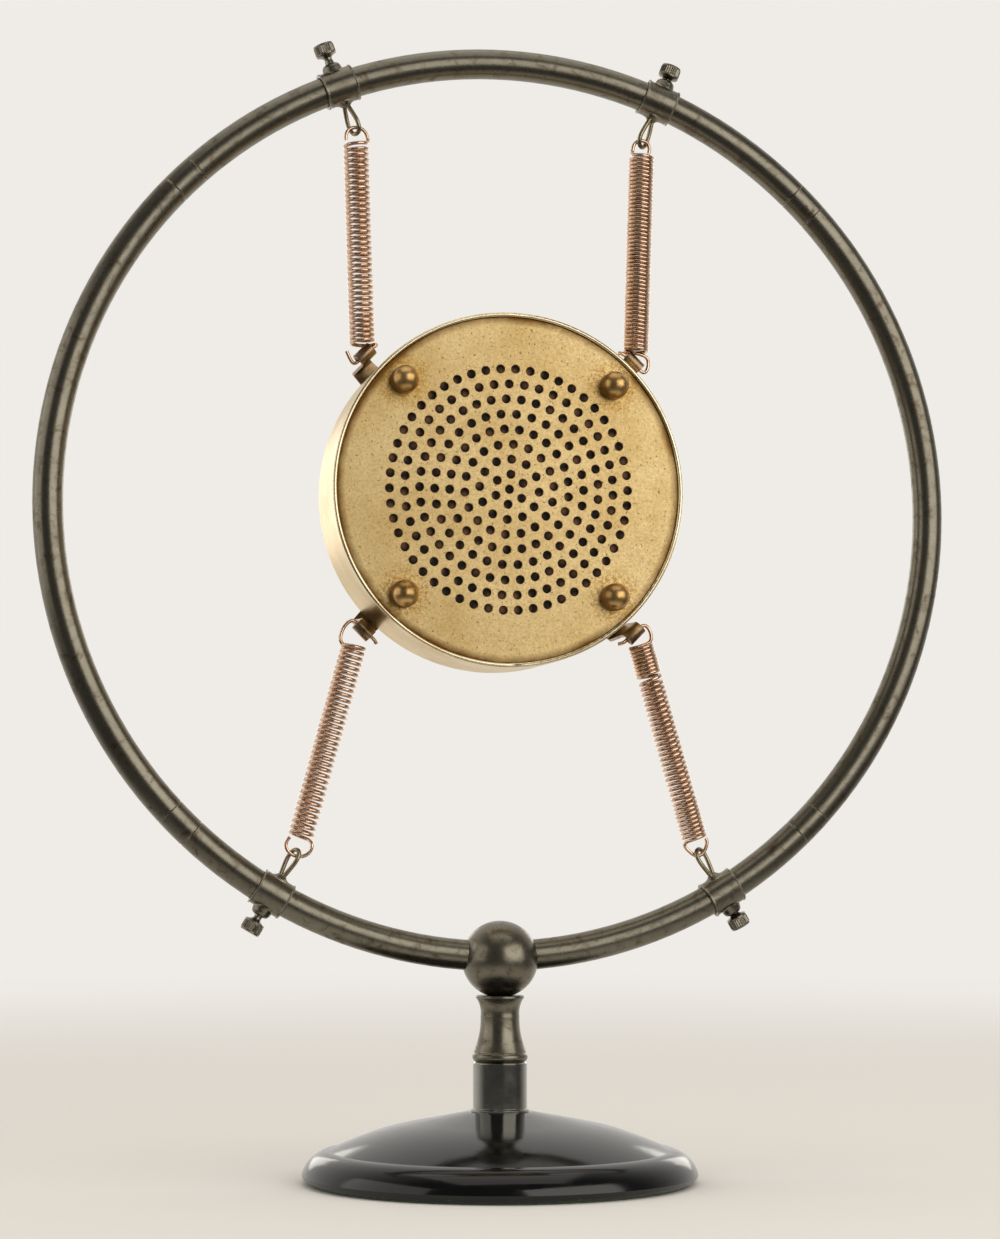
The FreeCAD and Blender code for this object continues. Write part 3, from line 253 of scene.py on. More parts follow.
def lacquered_plate(p):
    """Satin brass under old lacquer: brown specks, golden stains round the nuts, stain and painted shade at the
    rim.
    """
    material, tree = new_material("lacquered_brass_plate")
    place = add(tree, "TexCoord").outputs["Object"]
    low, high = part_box("front_plate")
    middle, radius = (low + high) / 2, (high.x - low.x) / 2
    near = add(tree, "VectorMath", {0: place, 1: middle}, operation="SUBTRACT")
    level = add(tree, "VectorMath", {0: near.outputs[0], 1: (1, 0, 1)}, operation="MULTIPLY")
    out = add(tree, "VectorMath", {0: level.outputs[0]}, operation="LENGTH")
    fold = add(tree, "VectorMath", {0: level.outputs[0]}, operation="ABSOLUTE")
    nut_low, nut_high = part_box("domed_nuts")
    reach = (nut_high.x - nut_low.x) / 2 - NUT_RADIUS
    away = add(tree, "VectorMath", {0: fold.outputs[0], 1: (reach, 0, reach)}, operation="DISTANCE")
    cloud = add(tree, "TexNoise", {"Vector": place, "Scale": per_mm(18), "Detail": 5.0, "Roughness": 0.6})
    speck = add(tree, "TexNoise", {"Vector": place, "Scale": per_mm(0.8), "Detail": 2.0, "Roughness": 0.6})
    grain = add(tree, "TexNoise", {"Vector": place, "Scale": per_mm(0.7), "Detail": 4.0, "Roughness": 0.85})
    shade = add(tree, "MapRange", {"Value": cloud.outputs[0], "From Min": 0.36, "From Max": 0.68,
                                   "To Max": 0.85})
    base = add(tree, "Mix", {FACTOR: shade.outputs[0], FIRST: p.lacquer, SECOND: p.lacquer_dark},
               data_type="RGBA")
    fine = add(tree, "MapRange", {"Value": grain.outputs[0], "From Min": 0.4, "From Max": 0.68,
                                  "To Max": 0.34})
    dusty = add(tree, "Mix", {FACTOR: fine.outputs[0], FIRST: base.outputs[MIXED], SECOND: p.lacquer_stain_and_rim_shade},
                data_type="RGBA")
    ring = add(tree, "MapRange", {"Value": away.outputs["Value"], "From Min": 0.0082, "From Max": 0.0045})
    crumbs = add(tree, "MapRange", {"Value": grain.outputs[0], "From Min": 0.44, "From Max": 0.6})
    halo = add(tree, "Math", {0: ring.outputs[0], 1: crumbs.outputs[0]}, operation="MULTIPLY")
    golden = add(tree, "Mix", {FACTOR: halo.outputs[0], FIRST: dusty.outputs[MIXED], SECOND: p.lacquer_halo},
                 data_type="RGBA")
    # Browner towards the plate's rim, made ragged by the clouds: partly stain, partly painted shade where the
    # plate sits under the case's lip.
    rim = add(tree, "MapRange", {"Value": out.outputs["Value"], "From Min": radius - 0.0026,
                                 "From Max": radius})
    ragged_stain_and_shade = add(tree, "Math", {0: rim.outputs[0], 1: cloud.outputs[0]}, operation="MULTIPLY")
    edge = add(tree, "MapRange", {"Value": ragged_stain_and_shade.outputs[0], "From Min": 0.1, "From Max": 0.5})
    dots = add(tree, "MapRange", {"Value": speck.outputs[0], "From Min": 0.63, "From Max": 0.68,
                                  "To Max": 0.75})
    brown = add(tree, "Math", {0: edge.outputs[0], 1: dots.outputs[0]}, operation="MAXIMUM")
    tone = add(tree, "Mix", {FACTOR: brown.outputs[0], FIRST: golden.outputs[MIXED], SECOND: p.lacquer_stain_and_rim_shade},
               data_type="RGBA")
    rough = add(tree, "MapRange", {"Value": grain.outputs[0], "From Min": 0.3, "From Max": 0.7,
                                   "To Min": p.lacquer_roughness - 0.05,
                                   "To Max": p.lacquer_roughness + 0.08})
    soft = add(tree, "Bevel", {"Radius": 0.0002}, samples=4)
    bump = add(tree, "Bump", {"Height": grain.outputs[0], "Strength": 0.1, "Distance": 0.0001,
                              "Normal": soft.outputs[0]})
    shader = add(tree, "BsdfPrincipled", {"Base Color": tone.outputs[MIXED], "Metallic": 1.0,
                                          "Roughness": rough.outputs[0], "Normal": bump.outputs[0]})
    add(tree, "OutputMaterial", {"Surface": shader.outputs[0]})
    return material


def lacquered_case(p):
    """The same brass spun into the case: smoother, faintly streaked; worn with a painted highlight at the front
    rim.
    """
    material, tree = new_material("lacquered_brass_case")
    place = add(tree, "TexCoord").outputs["Object"]
    front_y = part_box("capsule_case")[0].y
    depth = add(tree, "SeparateXYZ", {0: place})
    flat = add(tree, "Mapping", {"Vector": place, "Scale": (0.3, 1.0, 0.3)})
    cloud = add(tree, "TexNoise", {"Vector": place, "Scale": per_mm(12), "Detail": 5.0, "Roughness": 0.65})
    streak = add(tree, "TexNoise", {"Vector": flat.outputs[0], "Scale": per_mm(0.6), "Detail": 3.0})
    shade = add(tree, "MapRange", {"Value": cloud.outputs[0], "From Min": 0.4, "From Max": 0.68})
    base = add(tree, "Mix", {FACTOR: shade.outputs[0], FIRST: p.lacquer, SECOND: p.lacquer_dark},
               data_type="RGBA")
    # The front rim is paler and smoother: partly rubbed bare brass, partly a painted highlight along the rim's
    # bead.
    front = add(tree, "MapRange", {"Value": depth.outputs["Y"], "From Min": front_y + 0.0016,
                                   "From Max": front_y + 0.0004})
    patchy = add(tree, "MapRange", {"Value": cloud.outputs[0], "From Min": 0.68, "From Max": 0.45,
                                    "To Min": 0.35})
    rubbed = add(tree, "Math", {0: front.outputs[0], 1: patchy.outputs[0]}, operation="MULTIPLY")
    tone = add(tree, "Mix", {FACTOR: rubbed.outputs[0], FIRST: base.outputs[MIXED], SECOND: p.lacquer_rubbed_and_highlight},
               data_type="RGBA")
    rough = add(tree, "Mix", {FACTOR: rubbed.outputs[0], 2: p.lacquer_roughness - 0.08, 3: 0.24})
    soft = add(tree, "Bevel", {"Radius": 0.0003}, samples=4)
    bump = add(tree, "Bump", {"Height": streak.outputs[0], "Strength": 0.06, "Distance": 0.0001,
                              "Normal": soft.outputs[0]})
    shader = add(tree, "BsdfPrincipled", {"Base Color": tone.outputs[MIXED], "Metallic": 1.0,
                                          "Roughness": rough.outputs[0], "Normal": bump.outputs[0]})
    add(tree, "OutputMaterial", {"Surface": shader.outputs[0]})
    return material


def browned_brass(name, base, dark, roughness):
    """Old bare brass browned by handling: warm, with darker clouds and a fine grain."""
    material, tree = new_material(name)
    place = add(tree, "TexCoord").outputs["Object"]
    cloud = add(tree, "TexNoise", {"Vector": place, "Scale": per_mm(3), "Detail": 5.0, "Roughness": 0.65})
    fine = add(tree, "TexNoise", {"Vector": place, "Scale": per_mm(0.4), "Detail": 3.0})
    shade = add(tree, "MapRange", {"Value": cloud.outputs[0], "From Min": 0.38, "From Max": 0.68})
    tone = add(tree, "Mix", {FACTOR: shade.outputs[0], FIRST: base, SECOND: dark}, data_type="RGBA")
    soft = add(tree, "Bevel", {"Radius": 0.0002}, samples=4)
    bump = add(tree, "Bump", {"Height": fine.outputs[0], "Strength": 0.1, "Distance": 0.0001,
                              "Normal": soft.outputs[0]})
    shader = add(tree, "BsdfPrincipled", {"Base Color": tone.outputs[MIXED], "Metallic": 1.0,
                                          "Roughness": roughness, "Normal": bump.outputs[0]})
    add(tree, "OutputMaterial", {"Surface": shader.outputs[0]})
    return material


def plain_metal(name, base, dark, roughness, spacing):
    """Turned metal off the lathe: bright, with fine lines and a slight unevenness of tone."""
    material, tree = new_material(name)
    place = add(tree, "TexCoord").outputs["Object"]
    cloud = add(tree, "TexNoise", {"Vector": place, "Scale": per_mm(2.5), "Detail": 4.0})
    lines = add(tree, "TexNoise", {"Vector": place, "Scale": per_mm(spacing), "Detail": 2.0})
    tone = add(tree, "Mix", {FACTOR: cloud.outputs[0], FIRST: base, SECOND: dark}, data_type="RGBA")
    soft = add(tree, "Bevel", {"Radius": 0.0002}, samples=4)
    bump = add(tree, "Bump", {"Height": lines.outputs[0], "Strength": 0.1, "Distance": 0.00008,
                              "Normal": soft.outputs[0]})
    shader = add(tree, "BsdfPrincipled", {"Base Color": tone.outputs[MIXED], "Metallic": 1.0,
                                          "Roughness": roughness, "Normal": bump.outputs[0]})
    add(tree, "OutputMaterial", {"Surface": shader.outputs[0]})
    return material


def drawn_bronze(p):
    """Drawn phosphor bronze wire: smooth and pinkish, with brown tarnish that comes and goes."""
    material, tree = new_material("phosphor_bronze_wire")
    place = add(tree, "TexCoord").outputs["Object"]
    tarnish = add(tree, "TexNoise", {"Vector": place, "Scale": per_mm(1.6), "Detail": 5.0, "Roughness": 0.65})
    shade = add(tree, "MapRange", {"Value": tarnish.outputs[0], "From Min": 0.42, "From Max": 0.8})
    tone = add(tree, "Mix", {FACTOR: shade.outputs[0], FIRST: p.wire, SECOND: p.wire_dark}, data_type="RGBA")
    rough = add(tree, "MapRange", {"Value": tarnish.outputs[0], "From Min": 0.3, "From Max": 0.7,
                                   "To Min": 0.15, "To Max": 0.28})
    shader = add(tree, "BsdfPrincipled", {"Base Color": tone.outputs[MIXED], "Metallic": 1.0,
                                          "Roughness": rough.outputs[0]})
    add(tree, "OutputMaterial", {"Surface": shader.outputs[0]})
    return material


def brown_gauze():
    """Brown silk gauze behind the holes: dull, its fine weave drawn 3.29 mm wide so that it shows."""
    material, tree = new_material("silk_gauze")
    place = add(tree, "TexCoord").outputs["Object"]
    threads = per_mm(3.29) * math.pi / 10       # a wave's bands are pi / 10 apart at a scale of 1
    across = add(tree, "TexWave", {"Vector": place, "Scale": threads}, bands_direction="X")
    along = add(tree, "TexWave", {"Vector": place, "Scale": threads}, bands_direction="Z")
    weave = add(tree, "Math", {0: across.outputs["Fac"], 1: along.outputs["Fac"]}, operation="MULTIPLY")
    tone = add(tree, "Mix", {FACTOR: weave.outputs[0], FIRST: colour("#1d120b"), SECOND: colour("#6b4b33")},
               data_type="RGBA")
    bump = add(tree, "Bump", {"Height": weave.outputs[0], "Strength": 0.4, "Distance": 0.0001})
    shader = add(tree, "BsdfPrincipled", {"Base Color": tone.outputs[MIXED], "Roughness": 0.85,
                                          "Normal": bump.outputs[0]})
    add(tree, "OutputMaterial", {"Surface": shader.outputs[0]})
    return material


def plain_dull(name, base, dark, roughness, size):
    """An unpolished non-metal: one tone broken by a fine grain of the given size."""
    material, tree = new_material(name)
    place = add(tree, "TexCoord").outputs["Object"]
    grain = add(tree, "TexNoise", {"Vector": place, "Scale": per_mm(size), "Detail": 4.0})
    tone = add(tree, "Mix", {FACTOR: grain.outputs[0], FIRST: dark, SECOND: base}, data_type="RGBA")
    bump = add(tree, "Bump", {"Height": grain.outputs[0], "Strength": 0.3, "Distance": 0.0002})
    shader = add(tree, "BsdfPrincipled", {"Base Color": tone.outputs[MIXED], "Roughness": roughness,
                                          "Normal": bump.outputs[0]})
    add(tree, "OutputMaterial", {"Surface": shader.outputs[0]})
    return material


def clothe(material, *names):
    """Give CAD nodes a material in all their slots."""
    for name in names:
        for slot in frame["nodes"][name].material_slots:
            slot.material = material


# Shapes

def finish_mesh(name, mesh, material, body, slot, *replaced):
    """Make an object of a mesh, hang it on its body and hide the parts that it stands for."""
    mesh.polygons.foreach_set("use_smooth", [True] * len(mesh.polygons))
    mesh.materials.clear()
    mesh.materials.append(material)
    piece = bpy.data.objects.new(name, mesh)
    bpy.context.scene.collection.objects.link(piece)
    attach(piece, body)
    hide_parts(*replaced)
    return piece


def wire_mesh(name, points, radius):
    """A round wire along the smooth line that points steer, closed at both ends."""
    curve = bpy.data.curves.new(name, "CURVE")
    curve.dimensions = "3D"
    curve.bevel_depth = radius
    curve.bevel_resolution = 3
    curve.resolution_u = 3
    curve.use_fill_caps = True
    spline = curve.splines.new("NURBS")
    spline.points.add(len(points) - 1)
    for point, spot in zip(spline.points, points):
        point.co = (*spot, 1)
    spline.order_u = 4
    spline.use_endpoint_u = True
    holder = bpy.data.objects.new(name, curve)
    bpy.context.scene.collection.objects.link(holder)
    bpy.context.view_layer.update()
    graph = bpy.context.evaluated_depsgraph_get()
    mesh = bpy.data.meshes.new_from_object(holder.evaluated_get(graph))
    bpy.data.objects.remove(holder)
    return mesh


def spring_line(side):
    """Where a spring hangs in its eye, the direction to its lug, and how long it is between them."""
    swing = JOINTS["spring_swing_" + side]
    down = ALONG_Y.cross(Vector(swing["axis"])).normalized()
    return Vector(swing["pos_m"]), down, 1 / RATIOS["spring_swing_" + side]


def spring_points(p, side):
    """The points that steer one spring's wire: the loop in the eye, the coil and the hook through the lug."""
    plan = SPRINGS[side]
    eye, down, length = spring_line(side)
    across = ALONG_Y.cross(down)
    lug = eye + down * length
    strand = across * plan["start"]
    points = [eye + strand * (u * MM) + down * (w * MM) for u, w in plan["loop"]]
    first, last = plan["coil"]
    first, last = first * MM, length - last * MM
    spaced = [spacing for count, spacing in plan["runs"] for _ in range(count)]
    aim = plan["aim"] * MM * (1 if across.x > 0 else -1)
    radius = p.coil_radius * p.coil_swell
    begin = 0 if plan["start"] > 0 else math.pi
    for n in range(1, len(spaced) * p.coil_steps + 1):
        turn = n / p.coil_steps
        whole = min(int(turn), len(spaced) - 1)
        done = sum(spaced[:whole]) + spaced[whole] * (turn - whole)
        w = first + (last - first) * done / sum(spaced)
        angle = begin + 2 * math.pi * turn * plan["hand"]
        u = radius * math.cos(angle) + aim * w / length
        points.append(eye + across * u + ALONG_Y * (radius * math.sin(angle)) + down * w)
    return points + [lug + Vector(spot) * MM for spot in plan["hook"]]


def turning(profile, steps):
    """Turn an outline of (radius, height), in mm, about +Z."""
    made = bmesh.new()
    corners = [made.verts.new((r * MM, 0, z * MM)) for r, z in profile]
    edges = [made.edges.new(pair) for pair in zip(corners, corners[1:])]
    bmesh.ops.spin(made, geom=corners + edges, axis=(0, 0, 1), cent=(0, 0, 0), angle=2 * math.pi, steps=steps,
                   use_merge=True)
    bmesh.ops.remove_doubles(made, verts=made.verts, dist=1e-6)
    return made


def press_ridges(made, ridges, depth, low, high):
    """Leave straight ridges round a turning by pulling in every second line of points between two heights."""
    for vert in made.verts:
        step = round(math.atan2(vert.co.y, vert.co.x) / math.pi * ridges)
        if low * MM < vert.co.z < high * MM and step % 2:
            vert.co.xy *= 1 - depth / vert.co.xy.length


def gathered(name, pieces):
    """One mesh of several (bmesh, place) pairs."""
    whole = bmesh.new()
    for made, place in pieces:
        bmesh.ops.transform(made, matrix=place, verts=made.verts)
        part = bpy.data.meshes.new(name)
        made.to_mesh(part)
        made.free()
        whole.from_mesh(part)
        bpy.data.meshes.remove(part)
    bmesh.ops.recalc_face_normals(whole, faces=whole.faces)
    mesh = bpy.data.meshes.new(name)
    whole.to_mesh(mesh)
    whole.free()
    return mesh


def strap_stations(p):
    """A lug strap's middle line from its pad to its curl: mm out, mm back and half width at each station."""
    pad, back, radius = -12.0, 14.4, p.curl_radius / MM
    run = [(pad - 3.9, back, 0.9), (pad - 3.5, back, 1.94), (pad - 2.5, back, 3.12), (pad - 1.2, back, 3.82),
           (pad, back, 4.0), (pad + 4, back, 3.6), (-2.7, back, 3.2), (-2.1, back - 0.16, 3.2),
           (-1.66, back - 0.6, 3.2), (-1.5, back - 1.2, 3.2), (-1.5, 9.0, 3.0), (-1.5, 3.0, 2.6)]
    for n in range(CURL_STATIONS):
        turn = math.pi + math.radians(CURL_SWEEP) * n / (CURL_STATIONS - 1)
        run.append((radius * math.cos(turn), radius * math.sin(turn), 2.6))
    return run


def clamp_frame(side):
    """A sleeve's own axes: X along the ring, Y to the back, Z out from the ring. The tube's middle is 0."""
    turn = JOINTS["thumbscrew_turn_" + side]
    out = Vector(turn["axis"]).normalized()
    place = Matrix((ALONG_Y.cross(out), ALONG_Y, out)).transposed().to_4x4()
    place.translation = Vector(turn["pos_m"]) - out * SCREW_SPOT
    return place


def sharpen(mesh, angle):
    """Keep the edges sharp where faces meet at more than this angle."""
    mesh.set_sharp_from_angle(angle=angle)


# Settings

class SpringSettings(bpy.types.PropertyGroup):
    wire_radius: FloatProperty(
        name="Wire radius", description="Radius of the spring wire", default=0.5 * MM, unit="LENGTH",
        precision=5)
    coil_radius: FloatProperty(
        name="Coil radius", description="From the coil's axis to the wire's middle", default=2.95 * MM,
        unit="LENGTH", precision=5)
    coil_steps: IntProperty(
        name="Points a turn", description="Steering points in one turn of the coil", default=12, min=6)
    coil_swell: FloatProperty(
        name="Swell", default=1.0468,
        description="Widening of the steering points that gives the smooth line its full radius")


class ClampSettings(bpy.types.PropertyGroup):
    flare_height: FloatProperty(
        name="Flare height", description="How far the flare stands out from a sleeve", default=1.0 * MM,
        unit="LENGTH", precision=5)
    eye_wire: FloatProperty(
        name="Eye wire", description="Radius of an eye's wire", default=0.6 * MM, unit="LENGTH", precision=5)
    eye_width: FloatProperty(
        name="Eye width", description="Across an eye, between wire middles", default=3.5 * MM, unit="LENGTH",
        precision=5)
    curl_radius: FloatProperty(
        name="Curl radius", description="Radius of a lug's curl to the middle of the strap", default=1.5 * MM,
        unit="LENGTH", precision=5)
    strap_thickness: FloatProperty(
        name="Strap thickness", description="Thickness of the lug straps", default=0.8 * MM, unit="LENGTH",
        precision=5)
    screw_ridges: IntProperty(
        name="Screw ridges", description="Ridges round a thumbscrew's head", default=28, min=8)
    nut_ridges: IntProperty(
        name="Nut ridges", description="Ridges round a terminal nut", default=32, min=8)
    ridge_depth: FloatProperty(
        name="Ridge depth", description="Depth of the grooves between ridges", default=0.2 * MM,
        unit="LENGTH", precision=5)


class FinishSettings(bpy.types.PropertyGroup):
    enamel: FloatVectorProperty(
        name="Enamel", description="Colour of the base", subtype="COLOR", size=4, default=colour("#050506"))
    enamel_roughness: FloatProperty(
        name="Enamel roughness", description="Least roughness of the enamel", default=0.1, subtype="FACTOR")
    nickel: FloatVectorProperty(
        name="Black nickel", description="Colour of the socket", subtype="COLOR", size=4,
        default=colour("#8b8d86"))
    oxide: FloatVectorProperty(
        name="Oxide", description="Main colour of the ring", subtype="COLOR", size=4,
        default=colour("#6f6b5f"))
    oxide_light: FloatVectorProperty(
        name="Light oxide", description="Paler clouds on the ring", subtype="COLOR", size=4,
        default=colour("#868173"))
    oxide_stain: FloatVectorProperty(
        name="Stain", description="Brown stains on the ring", subtype="COLOR", size=4,
        default=colour("#584a38"))
    bare_brass: FloatVectorProperty(
        name="Bare metal", description="Where the ring's finish has rubbed off", subtype="COLOR", size=4,
        default=colour("#cfc4ab"))
    lacquer: FloatVectorProperty(
        name="Lacquered brass", description="Main colour of the capsule", subtype="COLOR", size=4,
        default=colour("#e2c993"))
    lacquer_dark: FloatVectorProperty(
        name="Dark lacquer", description="Darker clouds on the capsule", subtype="COLOR", size=4,
        default=colour("#cdae72"))
    # Brown specks and stains on the capsule, also used for the painted shade along the front plate's rim
    lacquer_stain_and_rim_shade: FloatVectorProperty(
        name="Lacquer stain", description="Brown specks on the capsule", subtype="COLOR", size=4,
        default=colour("#6e4c20"))
    lacquer_halo: FloatVectorProperty(
        name="Golden stain", description="Stains round the nuts", subtype="COLOR", size=4,
        default=colour("#b08433"))
    # Bare brass at the case's front rim, which also carries the painted highlight along it
    lacquer_rubbed_and_highlight: FloatVectorProperty(
        name="Rubbed brass", description="Bare brass at the case's front rim", subtype="COLOR", size=4,
        default=colour("#f1e2bf"))
    lacquer_roughness: FloatProperty(
        name="Lacquer roughness", description="Mean roughness of the lacquered brass", default=0.42,
        subtype="FACTOR")
    wire: FloatVectorProperty(
        name="Bronze wire", description="Colour of the springs", subtype="COLOR", size=4,
        default=colour("#eccdb4"))
    wire_dark: FloatVectorProperty(
        name="Tarnished wire", description="Tarnish on the springs", subtype="COLOR", size=4,
        default=colour("#a67852"))


class StageSettings(bpy.types.PropertyGroup):
    backdrop: FloatVectorProperty(
        name="Backdrop", description="Colour behind the object", subtype="COLOR", size=4,
        default=colour("#efece7"))
    ambient: FloatProperty(
        name="Ambient light", description="Strength of the world's light on dull surfaces", default=0.8)
    room_front: FloatProperty(
        name="Room in front", description="How bright the room behind the camera looks in a mirror",
        default=0.1)
    right_light: FloatProperty(
        name="Right softbox", description="Brightness of the softbox at the right of the camera", default=2.0)
    left_light: FloatProperty(
        name="Left softbox", description="Brightness of the softbox at the left", default=0.9)
    edge_light: FloatProperty(
        name="Edge lights", description="Brightness of the lights behind the object", default=1.7)
    top_light: FloatProperty(
        name="Top light", description="Brightness of the soft light overhead", default=0.8)
    camera_azimuth: FloatProperty(
        name="Camera azimuth", description="How far round the object the camera stands",
        default=math.radians(-11.2), subtype="ANGLE")
    camera_distance: FloatProperty(
        name="Camera distance", description="From the stem's axis", default=0.8, unit="LENGTH")
    camera_height: FloatProperty(
        name="Camera height", description="Above the floor", default=0.0892, unit="LENGTH", precision=4)
    camera_tilt: FloatProperty(
        name="Camera tilt", description="Upward tilt", default=math.radians(4.19), subtype="ANGLE")


# Operators

class MICROPHONE_OT_stand(bpy.types.Operator):
    """Finish the base, its felt, the socket, the spindle and their nuts"""
    bl_idname = "microphone.stand"
    bl_label = "Stand"

    def execute(self, context):
        p = context.scene.microphone_finish
        clothe(stoved_enamel(p), "base_dome")
        clothe(green_felt(), "base_felt")
        clothe(black_nickel(p), "stem_socket")
        clothe(plain_metal("turned_steel", colour("#8b8983"), colour("#5f5d58"), 0.34, 0.3), "spindle",
               "spindle_washer", "spindle_nut")
        clothe(plain_metal("turned_brass_nut", colour("#c7a868"), colour("#9a7d47"), 0.32, 0.3), "socket_nut")
        return {"FINISHED"}


class MICROPHONE_OT_ring(bpy.types.Operator):
    """Finish the ring, its joiners, the ball and the neck"""
    bl_idname = "microphone.ring"
    bl_label = "Ring"

    def execute(self, context):
        p = context.scene.microphone_finish
        clothe(oxidised_brass(p, "oxidised_brass"), "ring_right", "ring_top", "ring_left", "ring_bottom",
               "ring_joiners", "stem_ball", "stem_neck")
        return {"FINISHED"}


class MICROPHONE_OT_capsule(bpy.types.Operator):
    """Finish the outside of the capsule"""
    bl_idname = "microphone.capsule"
    bl_label = "Capsule outside"

    def execute(self, context):
        p = context.scene.microphone_finish
        clothe(lacquered_plate(p), "front_plate")
        clothe(lacquered_case(p), "capsule_case")
        clothe(brown_gauze(), "dust_screen")
        clothe(browned_brass("browned_brass_nuts", colour("#ddb578"), colour("#9e7841"), 0.33), "domed_nuts")
        clothe(browned_brass("browned_brass_strip", colour("#a88f70"), colour("#6e573e"), 0.36), "side_plate")
        clothe(plain_metal("turned_brass", colour("#c7a868"), colour("#9a7d47"), 0.3, 0.3), "through_bolts",
               "button_nut", "button_stem", "terminal_posts")
        clothe(plain_dull("moulded_hard_rubber", colour("#1c1815"), colour("#120f0d"), 0.4, 0.6),
               "button_bush", "terminal_bushes")
        return {"FINISHED"}


class MICROPHONE_OT_inside(bpy.types.Operator):
    """Finish what the capsule holds"""
    bl_idname = "microphone.inside"
    bl_label = "Capsule inside"

    def execute(self, context):
        clothe(plain_metal("inner_turned_brass", colour("#c7a868"), colour("#9a7d47"), 0.34, 0.3),
               "front_clamp_ring", "rear_clamp_ring", "clamp_pillars", "button_cup")
        clothe(plain_metal("rolled_duralumin", colour("#c9c9c6"), colour("#a9a9a6"), 0.3, 0.2), "diaphragm")
        clothe(plain_dull("polished_carbon", colour("#2b2a29"), colour("#151414"), 0.35, 0.5),
               "front_electrode", "rear_electrode")
        clothe(plain_dull("carbon_grains", colour("#2b2a29"), colour("#050505"), 0.6, 0.5), "carbon_granules")
        clothe(plain_dull("undyed_felt", colour("#cfc3ac"), colour("#a3977f"), 0.95, 0.5), "granule_felt")
        clothe(plain_dull("cotton_braid", colour("#7a6043"), colour("#46351f"), 0.9, 0.4), "inner_leads")
        return {"FINISHED"}


class MICROPHONE_OT_springs(bpy.types.Operator):
    """Wind the four springs with their full turns and the hooks at both ends"""
    bl_idname = "microphone.springs"
    bl_label = "Springs"

    def execute(self, context):
        p = context.scene.microphone_springs
        bronze = drawn_bronze(context.scene.microphone_finish)
        for side in SIDES:
            name = "coil_spring_" + side
            mesh = wire_mesh(name, spring_points(p, side), p.wire_radius)
            finish_mesh(name, mesh, bronze, "spring_" + side, "spring_wire", "spring_" + side)
        return {"FINISHED"}


class MICROPHONE_OT_sleeves(bpy.types.Operator):
    """Turn the four sleeves with their rims, bosses and flares, and bend the eyes that hang from them"""
    bl_idname = "microphone.sleeves"
    bl_label = "Sleeves and eyes"

    def execute(self, context):
        p = context.scene.microphone_clamps
        brass = oxidised_brass(context.scene.microphone_finish, "oxidised_brass_fittings")
        rubbed = plain_metal("rubbed_brass_wire", colour("#b5a88d"), colour("#796b52"), 0.26, 0.5)
        outer, half = 4.7, 4.5
        for side in SIDES:
            sleeve = turning([
                (4.12, -half), (4.75, -half), (4.9, 0.12 - half), (4.9, 0.38 - half), (4.75, 0.5 - half),
                (outer, 0.56 - half), (outer, half - 0.56), (4.75, half - 0.5), (4.9, half - 0.38),
                (4.9, half - 0.12), (4.75, half), (4.12, half), (4.12, -half)], 96)
            boss = turning([
                (2.9, outer - 0.8), (2.75, outer + 0.05), (2.6, outer + 0.3), (2.55, outer + 0.7),
                (2.4, outer + 1.15), (2.1, outer + 1.55), (1.7, outer + 1.8), (1.32, outer + 1.82),
                (1.28, outer + 1.7), (1.28, outer - 0.8)], 48)
            flare = turning([
                (0, p.flare_height / MM + outer), (0.85, p.flare_height / MM + outer), (1.15, outer + 0.55),
                (1.5, outer + 0.22), (2.0, outer - 0.03), (2.7, outer - 0.3), (2.7, outer - 0.8)], 48)
            place = clamp_frame(side)
            lying = place @ Matrix.Rotation(math.pi / 2, 4, "Y")
            stretched = Matrix.Diagonal((1.25, 0.9, -1, 1))
            parts = [(sleeve, lying), (boss, place), (flare, place @ stretched)]
            mesh = gathered("rimmed_sleeve_" + side, parts)
            finish_mesh(mesh.name, mesh, brass, "clamp_" + side, "dark_brass", "sleeve_" + side)
            sharpen(mesh, math.radians(32))
            turn = Matrix.Rotation(math.radians(EYE_TURNS[side]), 4, "Z")
            wide, tip = p.eye_width / MM / 2, EYE_END / MM
            run = [(0.45, 4.1), (0.6, 5.0), (0.8 * wide, 7.4), (1.12 * wide, 9.6), (1.2 * wide, tip - 1.7),
                   (0.75 * wide, tip + 0.02), (0, tip + 0.22)]
            run += [(-y, z) for y, z in reversed(run[:-1])]
            points = [(place @ turn @ Vector((0, y * MM, -z * MM)))[:] for y, z in run]
            name = "wire_eye_" + side
            finish_mesh(name, wire_mesh(name, points, p.eye_wire), rubbed, "clamp_" + side, "dark_brass",
                        "eye_" + side)
        return {"FINISHED"}


